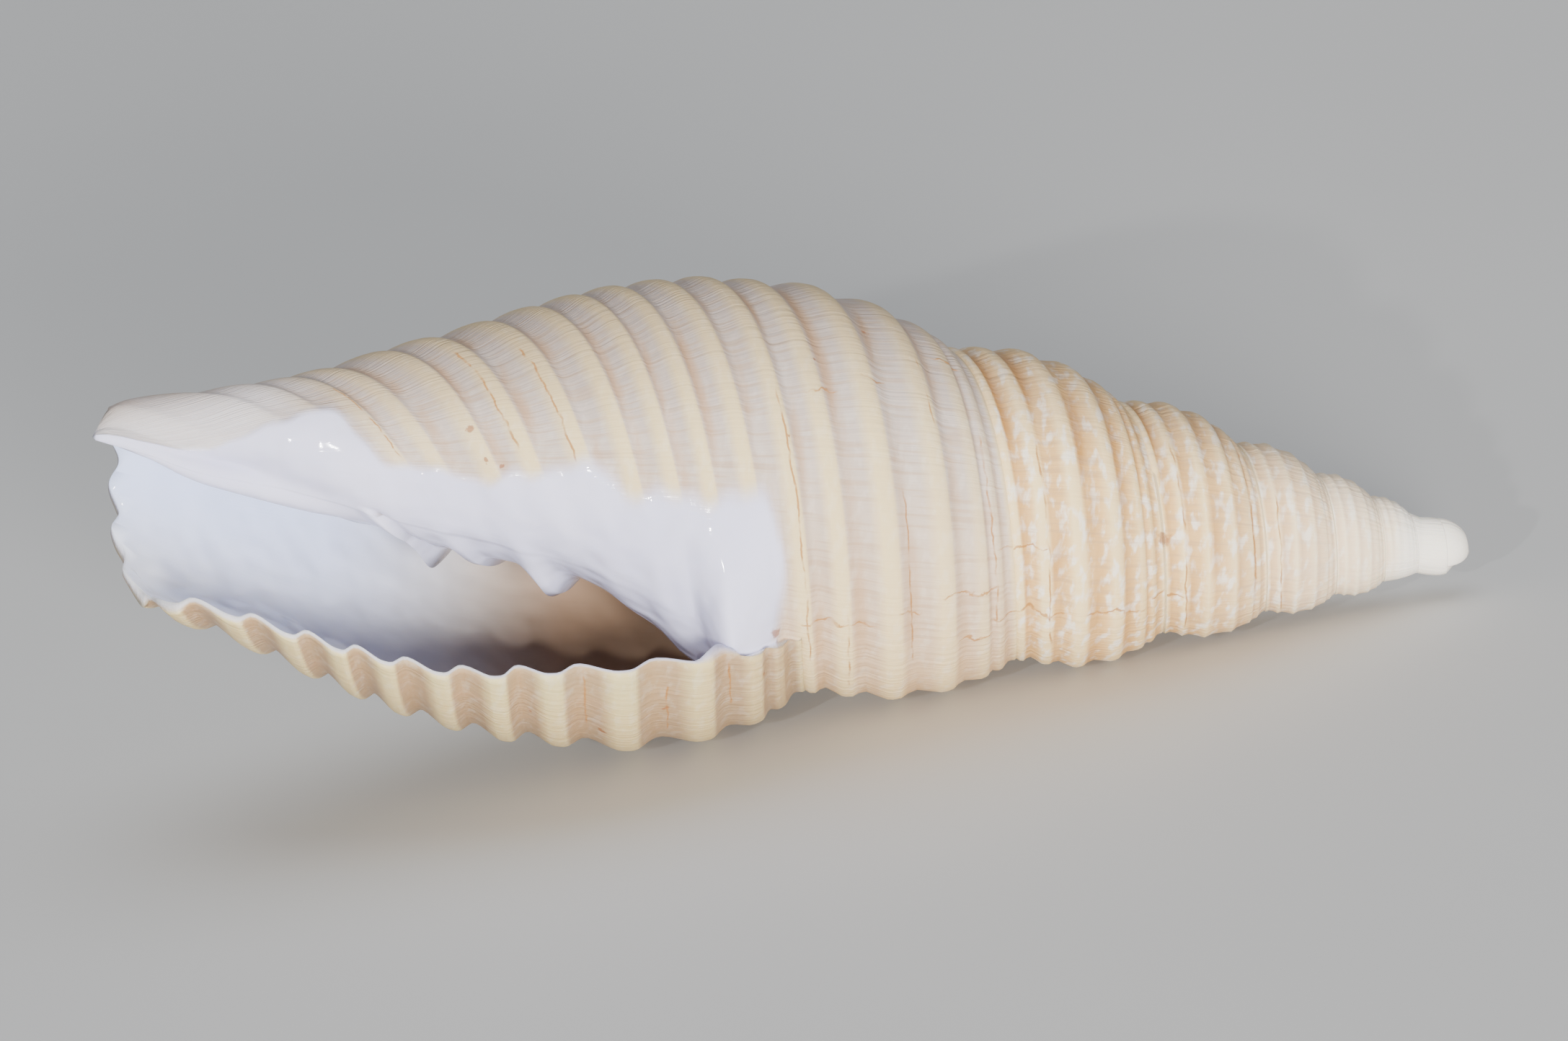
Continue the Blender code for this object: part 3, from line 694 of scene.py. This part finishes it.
def add_body(shell, columns):
    deepest = COLUMNS_PER_TURN + round(CAVITY_TURNS * COLUMNS_PER_TURN)
    bases = [base_part(shell, column) for column in range(deepest + 1)]
    whole = [columns[k] + bases[k] for k in range(COLUMNS_PER_TURN + 1)]
    for left, right in zip(whole, whole[1:]):
        shell.strip(left, right)
    first = bases[COLUMNS_PER_TURN]
    contact = [point for point in first if point[0] < CAVITY_TOP * GROWTH - 1e-6]
    pillars = [first[len(contact):]] + bases[COLUMNS_PER_TURN + 1:]
    for left, right in zip(pillars, pillars[1:]):
        shell.strip(left, right)
    return whole, contact, pillars


def add_lining(shell, pillars):
    linings = []
    open_columns = 0
    for column, pillar in enumerate(pillars):
        points, is_open = lining_part(shell, column, pillar)
        linings.append(points)
        open_columns += is_open
    for left, right in zip(linings, linings[1:]):
        shell.strip(left, right)
    shell.strip(by_depth(shell, linings[-1]), by_depth(shell, pillars[-1]))
    return linings, open_columns


def add_edges(shell, whole, contact, pillars, linings, open_columns):
    """The lip's edge, the anterior margin and the pillar's tip."""
    shoulder = [point for point in whole[COLUMNS_PER_TURN] if abs(point[0] - GROWTH) < SAME_ROW]
    inner = shoulder + contact + linings[0]
    shell.strip(by_depth(shell, whole[0]), by_depth(shell, inner))
    for column in range(open_columns):
        corners = [whole[column][-1][1], whole[column + 1][-1][1]]
        corners += [linings[column + 1][-1][1], linings[column][-1][1]]
        shell.faces.append(list(dict.fromkeys(corners)))
    ring = [points[-1][1] for points in whole[open_columns:]]
    ring += [points[-1][1] for points in pillars[1:open_columns + 1]]
    tip_depth = float(ANTERIOR_DEPTH(1.0)) + TIP_CROWN
    tip = shell.point(1.0, BASE_ROWS_TO, tip_depth, 0.0)
    for here, there in zip(ring, ring[1:] + ring[:1]):
        shell.faces.append((tip, here, there))


def rest_turn():
    return Matrix.Rotation(REST_PITCH, 3, 'Y') @ Matrix.Rotation(REST_ROLL, 3, 'X')


def lay_down(places, box):
    """Turn the points to the pose at rest and set them in the solid's box; the shift is returned."""
    turned = places @ np.array(rest_turn()).T
    low = turned.min(axis=0)
    high = turned.max(axis=0)
    low_box = np.array(box[0])
    high_box = np.array(box[1])
    shift = (low_box + high_box) / 2 - (low + high) / 2
    shift[2] = low_box[2] - low[2]
    return turned + shift, Vector(shift)


def arc_length(turns):
    """Distance along the suture from the lip, in millimetres."""
    steps = np.linspace(-0.1, APEX_TURNS, ARC_STEPS)
    speed = 2 * math.pi * suture_radius(steps) / MM
    total = np.concatenate(([0.0], np.cumsum((speed[1:] + speed[:-1]) / 2 * np.diff(steps))))
    return np.interp(turns, steps, total)


def surface_marks(marks):
    """What the material reads at each point, worked out from its turn, row and depth."""
    turn, row, depth, within = marks.T
    share = cord_share(row)
    corded = cord_strength(row) * cord_fading(turn) * (1 - within)
    below_suture = (turn > 1.0) | (depth > GLAZE_FROM_DEPTH)
    on_pillar = (turn >= 1.0) & (row > GROWTH) & below_suture
    glaze = np.where(turn < GLAZE_TURNS, glaze_cover(np.minimum(turn, 1.0), depth), 0.0)
    glaze = glaze * (row > GROWTH)
    glaze = np.where(on_pillar, 1.0, glaze)
    behind_lip = ease(turn, *CAVITY_BEHIND_LIP)
    cavity = np.where(turn > 1.0, ease(turn, *CAVITY_BEHIND_PILLAR), behind_lip) * within
    cord = np.maximum(1 - ease(share, *CORD_FRONT), ease(share, *CORD_BACK))
    furrow = ease(share, *FURROW_START) * (1 - ease(share, *FURROW_END))
    arc = arc_length(turn)
    # Mask of the painted shade in the groove beside the thin fold
    groove = np.exp(-((row - GROOVE_ROW) / GROOVE_WIDTH) ** 2) * ease(turn, *GROOVE_TURNS)
    growth = np.stack((arc, depth / MM, within * 5.0), axis=1)
    return {
        "cord": cord * corded,
        "furrow": furrow * corded,
        "glaze": np.maximum(glaze, within),
        "cavity": cavity,
        "age": np.clip(turn, 0.0, APEX_TURNS),
        "row": row,
        "arc": arc,
        "depth": depth / MM,
        # Painted shade mask: 1 on the shell's upper side, 0 on its lower side
        "shade_above": 0.5 - 0.5 * np.cos(turn_angle(turn)),
        "pale": ease(depth, *PALE_DEPTHS) * ease(turn, *PALE_TURNS) * (1 - within),
        "groove": groove * (1 - within),
    }, growth


def build_shell():
    shell = ShellMesh()
    columns = add_spire(shell)
    whole, contact, pillars = add_body(shell, columns)
    linings, open_columns = add_lining(shell, pillars)
    add_edges(shell, whole, contact, pillars, linings, open_columns)
    places, shift = lay_down(np.array(shell.places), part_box("shell"))
    mesh = bpy.data.meshes.new("fine_shell")
    mesh.from_pydata(places.tolist(), [], shell.faces)
    marks, growth = surface_marks(np.array(shell.marks))
    for name, values in marks.items():
        layer = mesh.attributes.new(name, 'FLOAT', 'POINT')
        layer.data.foreach_set("value", np.ascontiguousarray(values, dtype=np.float32))
    layer = mesh.attributes.new("growth", 'FLOAT_VECTOR', 'POINT')
    layer.data.foreach_set("vector", np.ascontiguousarray(growth, dtype=np.float32).ravel())
    face_outwards(mesh)
    mesh.shade_smooth()
    piece = bpy.data.objects.new("fine_shell", mesh)
    bpy.context.scene.collection.objects.link(piece)
    return piece, shift


def face_outwards(mesh):
    work = bmesh.new()
    work.from_mesh(mesh)
    bmesh.ops.recalc_face_normals(work, faces=work.faces)
    work.to_mesh(mesh)
    work.free()


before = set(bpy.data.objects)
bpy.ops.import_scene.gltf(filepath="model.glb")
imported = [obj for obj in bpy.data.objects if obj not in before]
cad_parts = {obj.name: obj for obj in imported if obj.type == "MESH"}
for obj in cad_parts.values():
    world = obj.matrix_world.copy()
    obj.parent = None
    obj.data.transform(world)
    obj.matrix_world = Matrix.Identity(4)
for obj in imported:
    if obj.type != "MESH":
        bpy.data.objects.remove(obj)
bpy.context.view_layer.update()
fine_shell, shell_shift = build_shell()
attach(fine_shell, "root")
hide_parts("shell")


class Nodes:
    """Short ways to add and link shader nodes."""

    def __init__(self, material):
        self.tree = material.node_tree
        self.links = material.node_tree.links

    def add(self, kind, **settings):
        node = self.tree.nodes.new(kind)
        for name, value in settings.items():
            setattr(node, name, value)
        return node

    def put(self, socket, value):
        if hasattr(value, "is_linked"):
            self.links.new(value, socket)
        else:
            socket.default_value = value

    def mark(self, name):
        return self.add("ShaderNodeAttribute", attribute_name=name).outputs["Fac"]

    def math(self, operation, first, second=0.0, clamp=False):
        node = self.add("ShaderNodeMath", operation=operation, use_clamp=clamp)
        self.put(node.inputs[0], first)
        self.put(node.inputs[1], second)
        return node.outputs[0]

    def ramp(self, value, low, high, start=0.0, end=1.0):
        """Maps low..high smoothly to start..end."""
        node = self.add("ShaderNodeMapRange", interpolation_type='SMOOTHSTEP')
        self.put(node.inputs["Value"], value)
        node.inputs["From Min"].default_value = low
        node.inputs["From Max"].default_value = high
        node.inputs["To Min"].default_value = start
        node.inputs["To Max"].default_value = end
        return node.outputs["Result"]

    def mix(self, share, first, second, blend='MIX'):
        node = self.add("ShaderNodeMix", data_type='RGBA', blend_type=blend)
        self.put(node.inputs[0], share)
        self.put(node.inputs[6], first)
        self.put(node.inputs[7], second)
        return node.outputs[2]

    def stretched(self, vector, scale):
        node = self.add("ShaderNodeMapping")
        self.put(node.inputs["Vector"], vector)
        node.inputs["Scale"].default_value = scale
        return node.outputs["Vector"]

    def noise(self, vector, scale, detail=3.0, distortion=0.0):
        node = self.add("ShaderNodeTexNoise")
        self.put(node.inputs["Vector"], vector)
        node.inputs["Scale"].default_value = scale
        node.inputs["Detail"].default_value = detail
        node.inputs["Distortion"].default_value = distortion
        return node.outputs["Fac"]


def colour(red, green, blue):
    """A colour given as it looks on screen, from 0 to 255."""
    linear = [((part / 255 + 0.055) / 1.055) ** 2.4 for part in (red, green, blue)]
    return (*linear, 1.0)


# Colours of the body whorl, the spire and the cords, and the painted shade on the upper side
BODY_DARK = colour(184, 180, 184)
BODY_PALE = colour(208, 204, 207)
BODY_NEAR_LIP = colour(172, 142, 102)
SPIRE_DARK = colour(214, 166, 100)
SPIRE_PALE = colour(242, 204, 144)
BODY_CORDS = colour(230, 208, 152)
SPIRE_CORDS = colour(252, 226, 172)
UPPER_SHADE = colour(144, 116, 88)
ANTERIOR_END = colour(226, 224, 232)
EARLY_WHORLS = colour(254, 242, 222)
DOME_COLOUR = colour(255, 247, 234)

# Colours of what lies on them, and of the painted shade in the groove beside the thin fold
CHALK = colour(252, 246, 236)
STAIN = colour(184, 130, 62)
THREADS = colour(186, 152, 118)
CRACKS = colour(176, 122, 60)
GROOVE_SHADE = colour(136, 116, 100)
SPECK = colour(150, 88, 46)

# Colours of the glaze and the cavity
GLAZE_DARK = colour(208, 209, 240)
GLAZE_PALE = colour(230, 229, 250)
BROWN_AT_EDGE = colour(214, 206, 198)
# Deep in the cavity: partly its own brown, partly painted shade
BROWN_AND_SHADE_DEEP = colour(168, 140, 116)
CAVITY_GREY = colour(192, 186, 182)
# Just inside the lip: partly its own whitish grey, partly painted light standing in for light through
# the thin lip
WHITISH_AND_GLOW_AT_LIP = colour(232, 230, 230)
BLUISH_DEEP = colour(206, 218, 255)

# Cracks: half width, wander and soft ends, in millimetres on the shell but for the last, in rows
CRACK_HALF_WIDTH = 0.022
AXIAL_WANDER = 0.42
SPIRAL_WANDER = 0.16
SPIRAL_CRACK_FADE = 0.1
AXIAL_CRACK_FADE = 0.008

# Gloss and depth of the surface
SHELL_ROUGHNESS = 0.46
GLAZE_ROUGHNESS = 0.09
SUBSURFACE_RADIUS = (1.0, 0.75, 0.55)
SUBSURFACE_SCALE = 0.5 * MM
BUMP_DISTANCE = 0.03 * MM
BUMP_STRENGTH = 0.7
PIT_RELIEF = 0.35
GLAZE_UNEVENNESS = 4.5
RELIEF_UNDER_GLAZE = 0.08


def greatest(nodes, values):
    """The greatest of several values at each point."""
    total = values[0]
    for value in values[1:]:
        total = nodes.math('MAXIMUM', total, value)
    return total


def hairline(nodes, distance, along, start, end, fade):
    """A thin line where a distance is near 0, between two places along it."""
    line = nodes.ramp(nodes.math('ABSOLUTE', distance), CRACK_HALF_WIDTH, CRACK_HALF_WIDTH * 0.3)
    begun = nodes.ramp(along, start - fade, start + fade)
    not_ended = nodes.ramp(along, end + fade, end - fade)
    return nodes.math('MULTIPLY', line, nodes.math('MULTIPLY', begun, not_ended))


def axial_cracks(nodes, arc, row, wander):
    across = nodes.math('ADD', arc, nodes.math('MULTIPLY', wander, AXIAL_WANDER))
    lines = []
    for turn, first, last in AXIAL_CRACKS:
        offset = nodes.math('SUBTRACT', across, float(arc_length(turn)))
        lines.append(hairline(nodes, offset, row, first, last, AXIAL_CRACK_FADE))
    return greatest(nodes, lines)


def spiral_cracks(nodes, arc, row, wander):
    bend = nodes.math('MULTIPLY', wander, SPIRAL_WANDER)
    lines = []
    for place, first, last in SPIRAL_CRACKS:
        scale = float(suture_depth((first + last) / 2)) / MM
        offset = nodes.math('MULTIPLY', nodes.math('SUBTRACT', row, place), scale)
        offset = nodes.math('ADD', offset, bend)
        start = float(arc_length(first))
        end = float(arc_length(last))
        lines.append(hairline(nodes, offset, arc, start, end, SPIRAL_CRACK_FADE))
    return greatest(nodes, lines)


def cracks(nodes, growth):
    """Fine brown cracks along growth lines and in the furrows, each where the shell has one."""
    arc = nodes.mark("arc")
    row = nodes.mark("row")
    wander = nodes.math('SUBTRACT', nodes.noise(growth, 2.6, 6.0), 0.5)
    patchy = nodes.ramp(nodes.noise(growth, 2.9, 3.0), 0.36, 0.54, 0.1, 1.0)
    faded = nodes.ramp(nodes.noise(growth, 4.3, 3.0), 0.34, 0.56, 0.25, 1.0)
    axial = nodes.math('MULTIPLY', axial_cracks(nodes, arc, row, wander), faded)
    spiral = nodes.math('MULTIPLY', spiral_cracks(nodes, arc, row, wander), patchy)
    return nodes.math('MAXIMUM', axial, spiral)


def spots(nodes, place):
    """Small brown specks that stick to the shell."""
    uneven = nodes.math('SUBTRACT', nodes.noise(place, 11000.0, 3.0), 0.5)
    ragged = nodes.math('MULTIPLY', uneven, 0.22 * MM)
    specks = []
    for turn, row, size in SPECKS:
        distance = nodes.add("ShaderNodeVectorMath", operation='DISTANCE')
        nodes.put(distance.inputs[0], place)
        distance.inputs[1].default_value = surface_place(turn, row)
        away = nodes.math('ADD', distance.outputs["Value"], ragged)
        specks.append(nodes.ramp(away, size * 1.2, size * 0.5))
    return greatest(nodes, specks)


def surface_place(turn, row):
    """Where a turn and row of the outer surface lie in the scene."""
    depth = float(row_depth(turn, row))
    radius = float(skin_radius(turn, np.array(row), depth))
    angle = turn_angle(turn)
    place = Vector((-depth, -radius * math.cos(angle), radius * math.sin(angle)))
    return rest_turn() @ place + shell_shift


def ground_colour(nodes, place, age, older):
    """Greyish between the cords of the body, brown near the lip and orange on the spire."""
    cloud = nodes.noise(place, 700.0, 4.0)
    body = nodes.mix(cloud, BODY_DARK, BODY_PALE)
    body = nodes.mix(nodes.ramp(age, 0.45, 0.08, 0.0, 0.9), body, BODY_NEAR_LIP)
    spire = nodes.mix(cloud, SPIRE_DARK, SPIRE_PALE)
    return nodes.mix(older, body, spire)


def add_chalk(nodes, base, growth, age):
    """Chalky flecks, thin on the body whorl and dense on the spire."""
    chalk = nodes.noise(nodes.stretched(growth, (4.2, 6.5, 1.0)), 1.0, 5.0)
    chalk = nodes.ramp(chalk, 0.48, 0.66, 0.0, 0.75)
    chalk = nodes.math('MULTIPLY', chalk, nodes.ramp(age, 0.9, 1.6, 0.18, 1.0))
    return nodes.mix(chalk, base, CHALK)


def add_stain(nodes, base, growth, age):
    """Yellow-brown stain in the furrows, strongest on the spire, and thicker on the shell's upper side,
    where it is also painted shade.
    """
    patches = nodes.noise(nodes.stretched(growth, (0.4, 1.6, 1.0)), 1.0, 4.0)
    # Painted shade: more stain on the upper side, where shade falls
    shade_on_top = nodes.math('MULTIPLY', nodes.ramp(nodes.mark("shade_above"), 0.45, 1.0), 0.45)
    amount = nodes.math('ADD', nodes.ramp(age, 0.6, 1.5, 0.22, 0.75), shade_on_top)
    stain = nodes.math('MULTIPLY', nodes.mark("furrow"), nodes.ramp(patches, 0.36, 0.62))
    return nodes.mix(nodes.math('MULTIPLY', stain, amount), base, STAIN)


def add_threads(nodes, base, growth, cord):
    """Fine growth lines between the cords."""
    threads = nodes.noise(nodes.stretched(growth, (15.0, 0.5, 1.0)), 1.0, 2.0)
    threads = nodes.ramp(threads, 0.50, 0.62, 0.0, 0.38)
    threads = nodes.math('MULTIPLY', threads, nodes.math('SUBTRACT', 1.0, cord))
    return nodes.mix(threads, base, THREADS)


def outer_colour(nodes, growth, place):
    """Cream cords over greyer interspaces, warmer and chalkier towards the apex, with painted shade on
    the upper side.
    """
    age = nodes.mark("age")
    cord = nodes.mark("cord")
    depth = nodes.mark("depth")
    older = nodes.ramp(age, 0.55, 1.35)
    cream = nodes.mix(older, BODY_CORDS, SPIRE_CORDS)
    base = ground_colour(nodes, place, age, older)
    base = nodes.mix(nodes.math('MULTIPLY', cord, 0.85), base, cream)
    base = add_chalk(nodes, base, growth, age)
    base = add_stain(nodes, base, growth, age)
    base = add_threads(nodes, base, growth, cord)
    # Painted shade: the upper side is darkened brown
    base = nodes.mix(nodes.ramp(nodes.mark("shade_above"), 0.62, 1.0, 0.0, 0.5), base, UPPER_SHADE)
    base = nodes.mix(nodes.math('MULTIPLY', nodes.mark("pale"), 0.6), base, ANTERIOR_END)
    base = nodes.mix(nodes.ramp(depth, 5.5, 1.4, 0.0, 0.65), base, EARLY_WHORLS)
    return nodes.mix(nodes.ramp(depth, 1.9, 1.5), base, DOME_COLOUR)


def glaze_colour(nodes, place):
    return nodes.mix(nodes.noise(place, 500.0, 2.0), GLAZE_DARK, GLAZE_PALE)


def cavity_colour(nodes):
    """Brown deep behind the parietal wall, partly its own colour and partly painted shade, grey in the
    middle and bluish white at the front; just inside the lip it is whiter, partly its own colour and
    partly painted light shining through the thin lip.
    """
    depth = nodes.mark("depth")
    age = nodes.mark("age")
    # The brown deep in the cavity is partly painted shade
    brown = nodes.mix(nodes.ramp(age, 0.04, 0.22), BROWN_AT_EDGE, BROWN_AND_SHADE_DEEP)
    brown_to_grey = nodes.mix(nodes.ramp(depth, 14.2, 16.8), brown, CAVITY_GREY)
    # The white just inside the lip is partly painted light
    bluish = nodes.mix(nodes.ramp(age, 0.10, 0.34), WHITISH_AND_GLOW_AT_LIP, BLUISH_DEEP)
    return nodes.mix(nodes.ramp(depth, 15.4, 19.0), brown_to_grey, bluish)


def shell_colour(nodes, growth, place, glaze):
    """The outer surface, its cracks, the glaze, the cavity, the painted shade in the groove and the
    specks, one over the other.
    """
    base = outer_colour(nodes, growth, place)
    marks = nodes.math('MULTIPLY', cracks(nodes, growth), nodes.ramp(glaze, 0.6, 0.2))
    base = nodes.mix(nodes.math('MULTIPLY', marks, 0.85), base, CRACKS)
    base = nodes.mix(glaze, base, glaze_colour(nodes, place))
    base = nodes.mix(nodes.mark("cavity"), base, cavity_colour(nodes))
    # Painted shade darkens the groove beside the thin fold
    base = nodes.mix(nodes.math('MULTIPLY', nodes.mark("groove"), 0.6), base, GROOVE_SHADE)
    return nodes.mix(nodes.math('MULTIPLY', spots(nodes, place), 0.7), base, SPECK)


def shell_relief(nodes, growth, place, glaze):
    """Growth threads and pits on the bare shell, and the slight unevenness of the glaze."""
    threads = nodes.noise(nodes.stretched(growth, (17.0, 0.45, 1.0)), 1.0, 2.0)
    pits = nodes.math('MULTIPLY', nodes.noise(place, 6000.0, 2.0), PIT_RELIEF)
    bare = nodes.math('SUBTRACT', 1.0, glaze)
    relief = nodes.math('ADD', threads, pits)
    relief = nodes.math('MULTIPLY', relief, nodes.math('ADD', bare, RELIEF_UNDER_GLAZE))
    uneven = nodes.math('MULTIPLY', nodes.noise(place, 1500.0, 1.0), glaze)
    relief = nodes.math('ADD', relief, nodes.math('MULTIPLY', uneven, GLAZE_UNEVENNESS))
    bump = nodes.add("ShaderNodeBump")
    bump.inputs["Strength"].default_value = BUMP_STRENGTH
    bump.inputs["Distance"].default_value = BUMP_DISTANCE
    nodes.put(bump.inputs["Height"], relief)
    return bump.outputs["Normal"]


def shell_material():
    material = bpy.data.materials.new("mitre_shell")
    material.use_nodes = True
    nodes = Nodes(material)
    surface = material.node_tree.nodes["Principled BSDF"]
    growth = nodes.add("ShaderNodeAttribute", attribute_name="growth").outputs["Vector"]
    place = nodes.add("ShaderNodeTexCoord").outputs["Object"]
    glaze = nodes.mark("glaze")
    roughness = nodes.ramp(glaze, 0.1, 0.9, SHELL_ROUGHNESS, GLAZE_ROUGHNESS)
    translucent = nodes.ramp(nodes.mark("age"), 0.3, 0.05, 0.2, 0.5)
    nodes.put(surface.inputs["Base Color"], shell_colour(nodes, growth, place, glaze))
    nodes.put(surface.inputs["Roughness"], roughness)
    nodes.put(surface.inputs["Subsurface Weight"], translucent)
    nodes.put(surface.inputs["Normal"], shell_relief(nodes, growth, place, glaze))
    surface.inputs["Subsurface Radius"].default_value = SUBSURFACE_RADIUS
    surface.inputs["Subsurface Scale"].default_value = SUBSURFACE_SCALE
    return material


# The studio
FLOOR_HALF = 3.0
FLOOR_ROUGHNESS = 0.8
FLOOR_DARK = colour(196, 196, 196)
FLOOR_PALE = colour(202, 202, 201)
WORLD_COLOUR = (0.80, 0.82, 0.86, 1.0)
WORLD_STRENGTH = 0.35
SENSOR_WIDTH = 36.0

# Lights beside the camera, placed to the view's right, up and back from the shell
KEY_PLACE = (0.05, -0.05, 0.30)
KEY_SIZE = 0.07
KEY_POWER = 2.15
KEY_TINT = (1.0, 0.97, 0.93)
GLOSS_PLACE = (-0.10, -0.012, 0.26)
GLOSS_SIZE = 0.006
GLOSS_POWER = 0.25
GLOSS_TINT = (1.0, 1.0, 1.0)

# The fill, placed along the floor's axes and up from the shell
FILL_PLACE = (0.05, 0.10, 0.40)
FILL_SIZE = 0.5
FILL_POWER = 1.0
FILL_TINT = (0.94, 0.97, 1.0)


def floor_material():
    material = bpy.data.materials.new("pale_floor")
    material.use_nodes = True
    nodes = Nodes(material)
    surface = material.node_tree.nodes["Principled BSDF"]
    place = nodes.add("ShaderNodeTexCoord").outputs["Object"]
    shade = nodes.mix(nodes.noise(place, 60.0, 3.0), FLOOR_DARK, FLOOR_PALE)
    nodes.put(surface.inputs["Base Color"], shade)
    surface.inputs["Roughness"].default_value = FLOOR_ROUGHNESS
    return material


def add_floor():
    half = FLOOR_HALF
    corners = [(-half, -half, 0), (half, -half, 0), (half, half, 0), (-half, half, 0)]
    mesh = bpy.data.meshes.new("floor")
    mesh.from_pydata(corners, [], [(0, 1, 2, 3)])
    mesh.materials.append(floor_material())
    floor = bpy.data.objects.new("floor", mesh)
    bpy.context.scene.collection.objects.link(floor)


def view_axes():
    """The photograph's right, up and backward directions in the shell's own frame, at rest."""
    forward = Vector((math.sin(AXIS_AWAY), 0, -math.cos(AXIS_AWAY)))
    level_right = Vector((math.cos(AXIS_AWAY), 0, math.sin(AXIS_AWAY)))
    level_up = Vector((0, 1, 0))
    right = math.cos(AXIS_DOWN) * level_right + math.sin(AXIS_DOWN) * level_up
    up = -math.sin(AXIS_DOWN) * level_right + math.cos(AXIS_DOWN) * level_up
    turn = rest_turn()
    return turn @ right, turn @ up, turn @ -forward


def aim(thing, place, axes):
    basis = Matrix(axes).transposed().to_4x4()
    thing.matrix_world = Matrix.Translation(place) @ basis


def add_camera(shift, axes):
    """The camera stands as the one that took the photograph; what it looks at is returned."""
    target = rest_turn() @ Vector((-LOOK_DEPTH, -LOOK_OFFSET, 0)) + shift
    data = bpy.data.cameras.new("camera")
    data.sensor_width = SENSOR_WIDTH
    data.lens = data.sensor_width * CAMERA_DISTANCE / VIEW_WIDTH
    data.clip_start = 0.01
    data.clip_end = 20.0
    camera = bpy.data.objects.new("camera", data)
    bpy.context.scene.collection.objects.link(camera)
    aim(camera, target + axes[2] * CAMERA_DISTANCE, axes)
    bpy.context.scene.camera = camera
    return target


def add_light(name, place, target, size, power, tint):
    data = bpy.data.lights.new(name, 'AREA')
    data.shape = 'DISK'
    data.size = size
    data.energy = power
    data.color = tint
    light = bpy.data.objects.new(name, data)
    bpy.context.scene.collection.objects.link(light)
    back = (place - target).normalized()
    light.rotation_euler = back.to_track_quat('Z', 'Y').to_euler()
    light.location = place
    return light


def beside_camera(target, axes, place):
    """Where something stands that is so far to the view's right, up and back from the target."""
    right, up, back = axes
    return target + place[2] * back + place[1] * up + place[0] * right


def add_lights(target, axes):
    """A soft key low beside the camera, a small one for the gloss and a wide fill from above."""
    key = beside_camera(target, axes, KEY_PLACE)
    gloss = beside_camera(target, axes, GLOSS_PLACE)
    fill = target + Vector(FILL_PLACE)
    soft = add_light("key", key, target, KEY_SIZE, KEY_POWER, KEY_TINT)
    soft.visible_glossy = False
    add_light("gloss", gloss, target, GLOSS_SIZE, GLOSS_POWER, GLOSS_TINT)
    add_light("fill", fill, target, FILL_SIZE, FILL_POWER, FILL_TINT)


def add_world():
    world = bpy.data.worlds.new("studio")
    world.use_nodes = True
    background = world.node_tree.nodes["Background"]
    background.inputs["Color"].default_value = WORLD_COLOUR
    background.inputs["Strength"].default_value = WORLD_STRENGTH
    bpy.context.scene.world = world


def add_studio(shift):
    add_floor()
    axes = view_axes()
    target = add_camera(shift, axes)
    add_lights(target, axes)
    add_world()


fine_shell.data.materials.append(shell_material())
add_studio(shell_shift)
